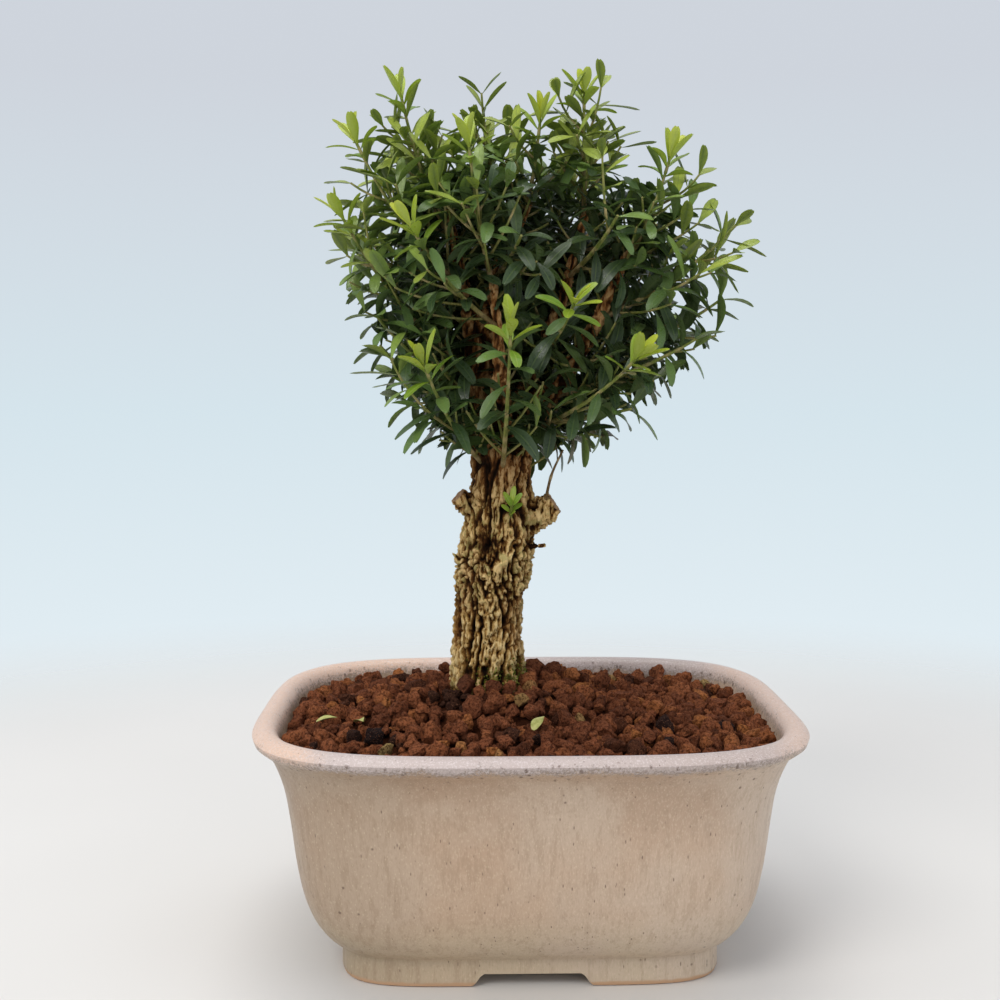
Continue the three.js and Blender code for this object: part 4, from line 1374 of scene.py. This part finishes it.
def add_blade(bush, blade, place, stem, outward, angle, length, width, random, tone, age_and_shade, bronze=0.0):
    lean = math.radians(angle)
    axis = outward * math.sin(lean) + stem * math.cos(lean)
    face = stem * math.sin(lean) - outward * math.cos(lean)
    face = face + UP * LIGHT_PULL
    face = turned(square_to(face, axis), axis, random.normal(0, 11))
    bend = random.uniform(0.4, 1.2) * (0.3 + 0.7 * min(1, max(0, age_and_shade * 1.6)))
    bush.add_leaf(blade, place + axis * 0.25, axis, face, length, width, random, tone, age_and_shade, bend, bronze)


def crown_reach(point):
    """How far out in the crown a point lies: 0 on its middle line, 1 on its outline."""
    heights, lefts, rights = zip(*CROWN_OUTLINE)
    if not heights[0] < point[2] < heights[-1]:
        return 9.0
    left, right = (float(np.interp(point[2], heights, side)) for side in (lefts, rights))
    reach = (right - left) / 2
    across = (point[0] - (left + right) / 2) / reach
    return math.hypot(across, (point[1] - CROWN_MIDDLE_Y) / (reach * CROWN_DEPTH))


def in_the_way(point):
    """Whether a leaf at the point would stand before a limb's bark."""
    if not 166 < point[2] < 236:
        return False
    for limb in ("left", "middle", "right", "farRight"):
        line = LIMB_CURVES[limb].samples
        x, y = (float(np.interp(point[2], line[:, 2], line[:, axis])) for axis in (0, 1))
        if abs(point[0] - x) < 5.2 and point[1] < y - 2 and point[2] < line[-1, 2] - 4:
            return True
    return False


def shade(tip, reach):
    """How much painted shade darkens a leaf: more inside and low in the crown, and how much painted light
    lightens it far out at its sides.
    """
    inner = 0.72 * float(smooth_step(0.95, 0.45, reach)) - 0.16 * float(smooth_step(0.85, 1.05, reach))
    darker = inner * float(smooth_step(256, 222, tip[2])) + 0.42 * float(smooth_step(222, 182, tip[2]))
    return darker - 0.24 * float(smooth_step(20, 50, abs(tip[0] - STEM_X)) * smooth_step(182, 212, tip[2]))


def leaf_pairs(bush, curve, random, first, spacing, bare, turn, size, tip_age, low_bronze, free=True):
    """Opposite pairs from the tip back, each a quarter turn from the next. Inner and low leaves are darker with
    painted shade, and high and outer leaves lighter with painted light, the high ones partly also fresher
    growth.
    """
    pairs = int((curve.length - bare - first) // spacing) + 1
    knots = []
    for pair in range(max(1, pairs)):
        along = min(1, max(0, (curve.length - first - pair * spacing) / curve.length))
        place, stem = curve.at(along), curve.tangent(along)
        knots.append(along)
        angle = TIP_LEAF_ANGLE + (LEAF_ANGLE - TIP_LEAF_ANGLE) * min(1, pair / 2)
        for half in (0, 180):
            outward = sideways(stem, turn + half + 90 * pair + random.uniform(-14, 14))
            scale = size * random.uniform(0.78, 1.14) * (0.85 if pair == 0 else 1)
            scale *= 1 + 0.14 * float(smooth_step(205, 175, place[2]))
            tip = place + outward * LEAF_LENGTH * scale
            reach = crown_reach(tip)
            # Leaves high in the crown are lighter: partly fresher growth, partly painted light from above.
            fresh = 0.34 * float(smooth_step(228, 250, tip[2]))
            age_and_shade = min(1.0, tip_age + shade(tip, reach) - fresh + 0.016 * pair * spacing)
            bronze = 0.85 if random.random() < low_bronze else 0.0
            lean = angle + random.normal(4, 9)
            tone = random.random()
            width = LEAF_WIDTH * math.sqrt(scale) * random.uniform(0.78, 1.02)
            thinned_out = random.random() < 0.6 and (in_the_way(tip) or in_the_way((place + tip) / 2))
            if tip[2] < 153 and abs(tip[0] - STEM_X) < 14 and tip[1] < 4:
                continue
            if free or (reach < 0.99 and not thinned_out):
                length = LEAF_LENGTH * scale
                add_blade(
                    bush, PLAIN_BLADE, place, stem, outward, lean, length, width, random, tone, age_and_shade, bronze,
                )
    return knots


def side_shoot(base, stem, outward, length, top, room):
    """A side twig that leaves its shoot and lifts a little, cut back until it fits in the crown."""
    heading = unit(stem * 0.75 + outward * 0.8 + UP * 0.15)
    for share in (1.0, 0.8, 0.62, 0.46):
        reach = length * share
        end = base + heading * reach + UP * reach * 0.12
        if crown_reach(end) < room and end[2] < top:
            return Curve.bezier(base, base + heading * reach * 0.55 - UP * reach * 0.05, end, SIDE_SAMPLES)
    return None


def add_side(bush, side, random, spacing, bare, size, tip_age, bronze, free=False):
    knots = leaf_pairs(
        bush, side, random, 0.6, spacing, bare, random.uniform(0, 180), size, tip_age, bronze, free,
    )
    bush.add_tube(
        side, lambda share: 0.45 - 0.12 * share, 5, max(4, int(side.length / 3)), 0.5,
        lambda shares: smooth_step(0.7, 0.0, shares) * 0.6, knots,
    )


def wanted(side, random):
    """Whether a side twig is grown: most of those that would hide a limb are not."""
    return side is not None and not (in_the_way(side.samples[-1]) and random.random() < HIDING_SHARE)


def build_shoot(number, shoot, blade, stem_material):
    bush = Foliage()
    curve = shoot_curve(shoot)
    random = np.random.default_rng(SHOOT_SEED + number)
    draw = seeded_random(SHOOT_TURN_SEED + number)
    turn = 45 if number in (5, 6, 9) else draw() * 180
    first = 2.5 if shoot[3] else 0.8
    bronze = 0.08 if shoot[2][2] < 185 and shoot[2][0] > 8 else 0.0
    tip_age = 0.2 if shoot[3] else 0.1
    bare = 7 if shoot[0] == "front" and shoot[1] < 0.5 else 3
    knots = leaf_pairs(bush, curve, random, first, PAIR_SPACING, bare, turn, 1.1, tip_age, bronze)
    bush.add_tube(
        curve, taper(TWIG_RADIUS, TWIG_TIP_RADIUS), 8,
        max(8, int(curve.length / 2)), 0.5, lambda shares: smooth_step(0.6, 0.05, shares) * 0.9, knots,
    )
    for step, along in enumerate(np.arange(SIDE_FIRST, SIDE_LAST, SIDE_STEP)):
        for half in (0, 180):
            base, stem = curve.at(along), curve.tangent(along)
            outward = sideways(stem, turn + half + 90 * step + 45 + random.uniform(-25, 25))
            length = random.uniform(11, 23) * (1.15 - 0.4 * along)
            side = side_shoot(base, stem, outward, length, curve.samples[-1][2] - 7, 0.96)
            age_and_shade = random.choice([-0.15, 0.0, 0.15, 0.3])
            size = random.uniform(1.02, 1.24)
            if wanted(side, random):
                # Side twigs ending high in the crown are lighter: partly fresher growth, partly painted light
                # from above.
                age_and_shade -= 0.2 * float(smooth_step(230, 246, side.samples[-1][2]))
                add_side(bush, side, random, SIDE_PAIR_SPACING, 2.0, size, age_and_shade, bronze)
    for _, along, tip in [row for row in EXTRA_TIPS if row[0] == number + 1]:
        side = arched(curve.at(along), tip, 0.7, 0.35, SIDE_SAMPLES)
        add_side(bush, side, random, EXTRA_PAIR_SPACING, 2.0, 0.95, -0.2, 0, True)
    name = f"shoot_{number + 1:02d}"
    piece = bush.build(f"{name}_foliage", blade, stem_material)
    hold(piece, "leaf_green", name)


def build_spurs(limb, points, blade, stem_material):
    """Short leafy twigs straight from a limb, which close the inside of the crown."""
    bush = Foliage()
    curve = LIMB_CURVES[limb]
    random = np.random.default_rng(int(abs(points[-1][0]) * 10 + abs(points[-1][1])))
    turn = random.uniform(0, 360)
    for distance in np.arange(12.0, curve.length, SPUR_STEP * (0.62 if "back" in limb else 1)):
        along = distance / curve.length
        turn += SPUR_TURN
        base, stem = curve.at(along), curve.tangent(along)
        outward = sideways(stem, turn)
        if outward[1] < -0.35 and 172 < base[2] < 232 and random.random() < 0.65:
            continue
        root = base + outward * limb_radius(along) * 0.6
        side = side_shoot(root, stem * 0.7, outward, random.uniform(9, 19), 255, 0.96)
        size = random.uniform(1.0, 1.22)
        if wanted(side, random):
            add_side(bush, side, random, SPUR_PAIR_SPACING, 3.5, size, 0.3, 0.0)
    hold(bush.build(f"{limb}_limb_spurs", blade, stem_material), "leaf_green")


def build_tuft(number, shoot, blade, stem_material):
    bush = Foliage()
    curve = shoot_curve(shoot)
    stem = curve.tangent(1.0)
    start = curve.at(1.0)
    draw = seeded_random(TUFT_TURN_SEED + number)
    turn = draw() * 180
    random = np.random.default_rng(TUFT_SEED + number)
    stalk = Curve([start, start + stem * (TUFT_STEM + 1)])
    bush.add_tube(stalk, lambda share: 0.55 - 0.15 * share, 8, 5, 0.5, lambda shares: shares * 0, (0.3,))
    for pair, (height, angle, size) in enumerate(TUFT_PAIRS):
        for half in (0, 180):
            outward = sideways(stem, turn + half + 90 * pair + random.uniform(-10, 10))
            length = size * TUFT_LEAF_LENGTH * random.uniform(0.92, 1.08)
            tone = 0.1 + 0.25 * pair + random.uniform(-0.1, 0.15)
            add_blade(
                bush, FINE_BLADE, start + stem * height, stem, outward, angle + random.normal(0, 4), length,
                LEAF_WIDTH * 0.86 * math.sqrt(size), random, tone, max(0, 0.45 - 0.2 * pair),
            )
    name = f"new_growth_{number + 1:02d}"
    hold(bush.build(f"{name}_leaves", blade, stem_material), "new_leaf", name)


def build_sprout(blade, stem_material):
    bush = Foliage()
    root, tip = np.array(SPROUT_ROOT), np.array(SPROUT_TIP)
    stalk = Curve([root, tip])
    random = np.random.default_rng(SPROUT_SEED)
    bush.add_tube(stalk, lambda share: 0.6 - 0.15 * share, 8, 5, 0.5, lambda shares: shares * 0)
    for height, fan, forward, length in SPROUT_BLADES:
        lean = math.radians(fan)
        axis = unit(np.array([math.sin(lean), -forward, math.cos(lean)]))
        face = np.array([-math.sin(lean * 1.2), -1.0, 0.35])
        face = turned(square_to(face, axis), axis, random.normal(0, 22))
        tone = random.uniform(0.05, 0.9)
        bush.add_leaf(
            FINE_BLADE, stalk.at(height), axis, face, length, SPROUT_BLADE_WIDTH, random, tone, 0.35, 0.5, 0.0,
        )
    hold(bush.build("trunk_sprout_leaves", blade, stem_material), "new_leaf", "trunk_sprout")


def build_bare_twig(stem_material):
    curve = Curve.through(BARE_TWIG)
    bush = Foliage()
    bush.add_tube(
        curve, lambda share: 0.5 - 0.2 * share + 0.12 * math.exp(-((share - 0.45) / 0.05) ** 2), 8, 24, 0.5,
        lambda shares: shares * 0 + 1, (0.45, 0.8),
    )
    made = make_object(
        "bare_twig_wood", bush.points[0], [bush.quads[0], bush.tris[0]], [stem_material],
        {key: bush.values[key][0] for key in ("age_and_shade", "knot", "tone")},
    )
    hold(made, "dead_wood", "bare_twig")


def build_fallen_leaves():
    material = fallen_material()
    for number, (x, y, turn, length) in enumerate(FALLEN_LEAVES):
        node = f"fallen_leaf_{number + 1}"
        low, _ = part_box(node)
        angle = math.radians(turn)
        axis = np.array([-math.sin(angle), math.cos(angle), 0.0])
        shape = FINE_BLADE.shape(length, LEAF_WIDTH * 0.8, 0.5, 0.35, 0.3, 0.03, 0.6)
        across = np.cross(axis, UP)
        points = shape @ np.stack([across, axis, UP]) + np.array([x, y, 0.0]) - axis * length / 2
        points[:, 2] += low[2] / MM - points[:, 2].min() + 0.4
        made = make_object(f"{node}_blade", points, FINE_BLADE.faces, [material], sharp=LEAF_CREASE)
        hold(made, "fallen_leaf", node)


def build_moss(skin, normals):
    """Small cushions of moss on the bark where the trunk enters the soil, thickest at the right."""
    random = np.random.default_rng(MOSS_SEED)
    low = np.flatnonzero((skin[:, 2] > 79) & (skin[:, 2] < 90) & (skin[:, 1] < 3))
    weight = np.exp(-((skin[low, 2] - 80) / 5.0) ** 2) * smooth_step(-22, -6, skin[low, 0])
    chosen = random.choice(low, MOSS_CUSHIONS, replace=False, p=weight / weight.sum())
    shapes = lump_shapes(1, 10, MOSS_LUMP_SEED)
    lumps = []
    for index in chosen:
        shape, faces = shapes[random.integers(len(shapes))]
        shape = shape * random.uniform(0.2, 0.42)
        points = shape @ random_turn(random).T + skin[index] + normals[index] * 0.15
        lumps.append((points, faces, random.random()))
    hold(lump_piece("moss_cushions", lumps, moss_material()), "cork_bark")


def build_stage():
    corners = [(x * FLOOR_REACH, y * FLOOR_REACH, 0) for x, y in ((-1, -1), (1, -1), (1, 1), (-1, 1))]
    floor = make_object("floor", corners, np.array([[0, 1, 2, 3]]), [floor_material()])
    world = bpy.data.worlds.new("studio")
    world.use_nodes = True
    tree = world.node_tree
    direction, split, spread, sky = (
        tree.nodes.new(f"ShaderNode{kind}") for kind in ("TexCoord", "SeparateXYZ", "MapRange", "ValToRGB")
    )
    spread.inputs["From Min"].default_value = -SKY_SPREAD
    spread.inputs["From Max"].default_value = SKY_SPREAD
    fill_ramp(sky, SKY)
    for source, target in (
        (direction.outputs["Generated"], split.inputs[0]),
        (split.outputs["Z"], spread.inputs["Value"]),
        (spread.outputs["Result"], sky.inputs["Fac"]),
        (sky.outputs["Color"], tree.nodes["Background"].inputs["Color"]),
    ):
        tree.links.new(source, target)
    bpy.context.scene.world = world
    for light in LIGHTS:
        area_light(*light)


def area_light(name, place, target, size, power, colour):
    light = bpy.data.lights.new(name, "AREA")
    light.shape = "DISK"
    light.size = size
    light.energy = power
    light.color = colour
    lamp = place_object(name, light)
    lamp.location = place
    lamp.rotation_euler = (Vector(target) - Vector(place)).to_track_quat("-Z", "Y").to_euler()


def build_camera():
    camera = bpy.data.cameras.new("camera")
    camera.lens = CAMERA_LENS
    camera.sensor_width = SENSOR_WIDTH
    camera.clip_start = NEAREST_SEEN * MM
    viewer = place_object("camera", camera)
    viewer.location = tuple(part * MM for part in CAMERA_PLACE)
    viewer.rotation_euler = (math.pi / 2 - CAMERA_PITCH, 0, CAMERA_TURN)
    bpy.context.scene.camera = viewer
    bpy.context.scene.view_settings.view_transform = "Standard"


def dress_screens():
    material = screen_material()
    for node in ("drain_screen_1", "drain_screen_2"):
        screen = bpy.data.objects[node]
        screen.data.materials.clear()
        screen.data.materials.append(material)


def build_crown():
    green = leaf_material("leaf", False)
    young = leaf_material("new_leaf", True)
    stems = twig_material()
    for number, shoot in enumerate(SHOOTS):
        build_shoot(number, shoot, green, stems)
        if shoot[3]:
            build_tuft(number, shoot, young, stems)
    for limb, points in LIMBS.items():
        build_spurs(limb, points, green, stems)
    build_sprout(young, stems)
    build_bare_twig(stems)


build_camera()
build_stage()
build_pot()
build_soil()
bark, bark_normals = build_trunk()
build_crown()
build_moss(bark, bark_normals)
build_fallen_leaves()
dress_screens()
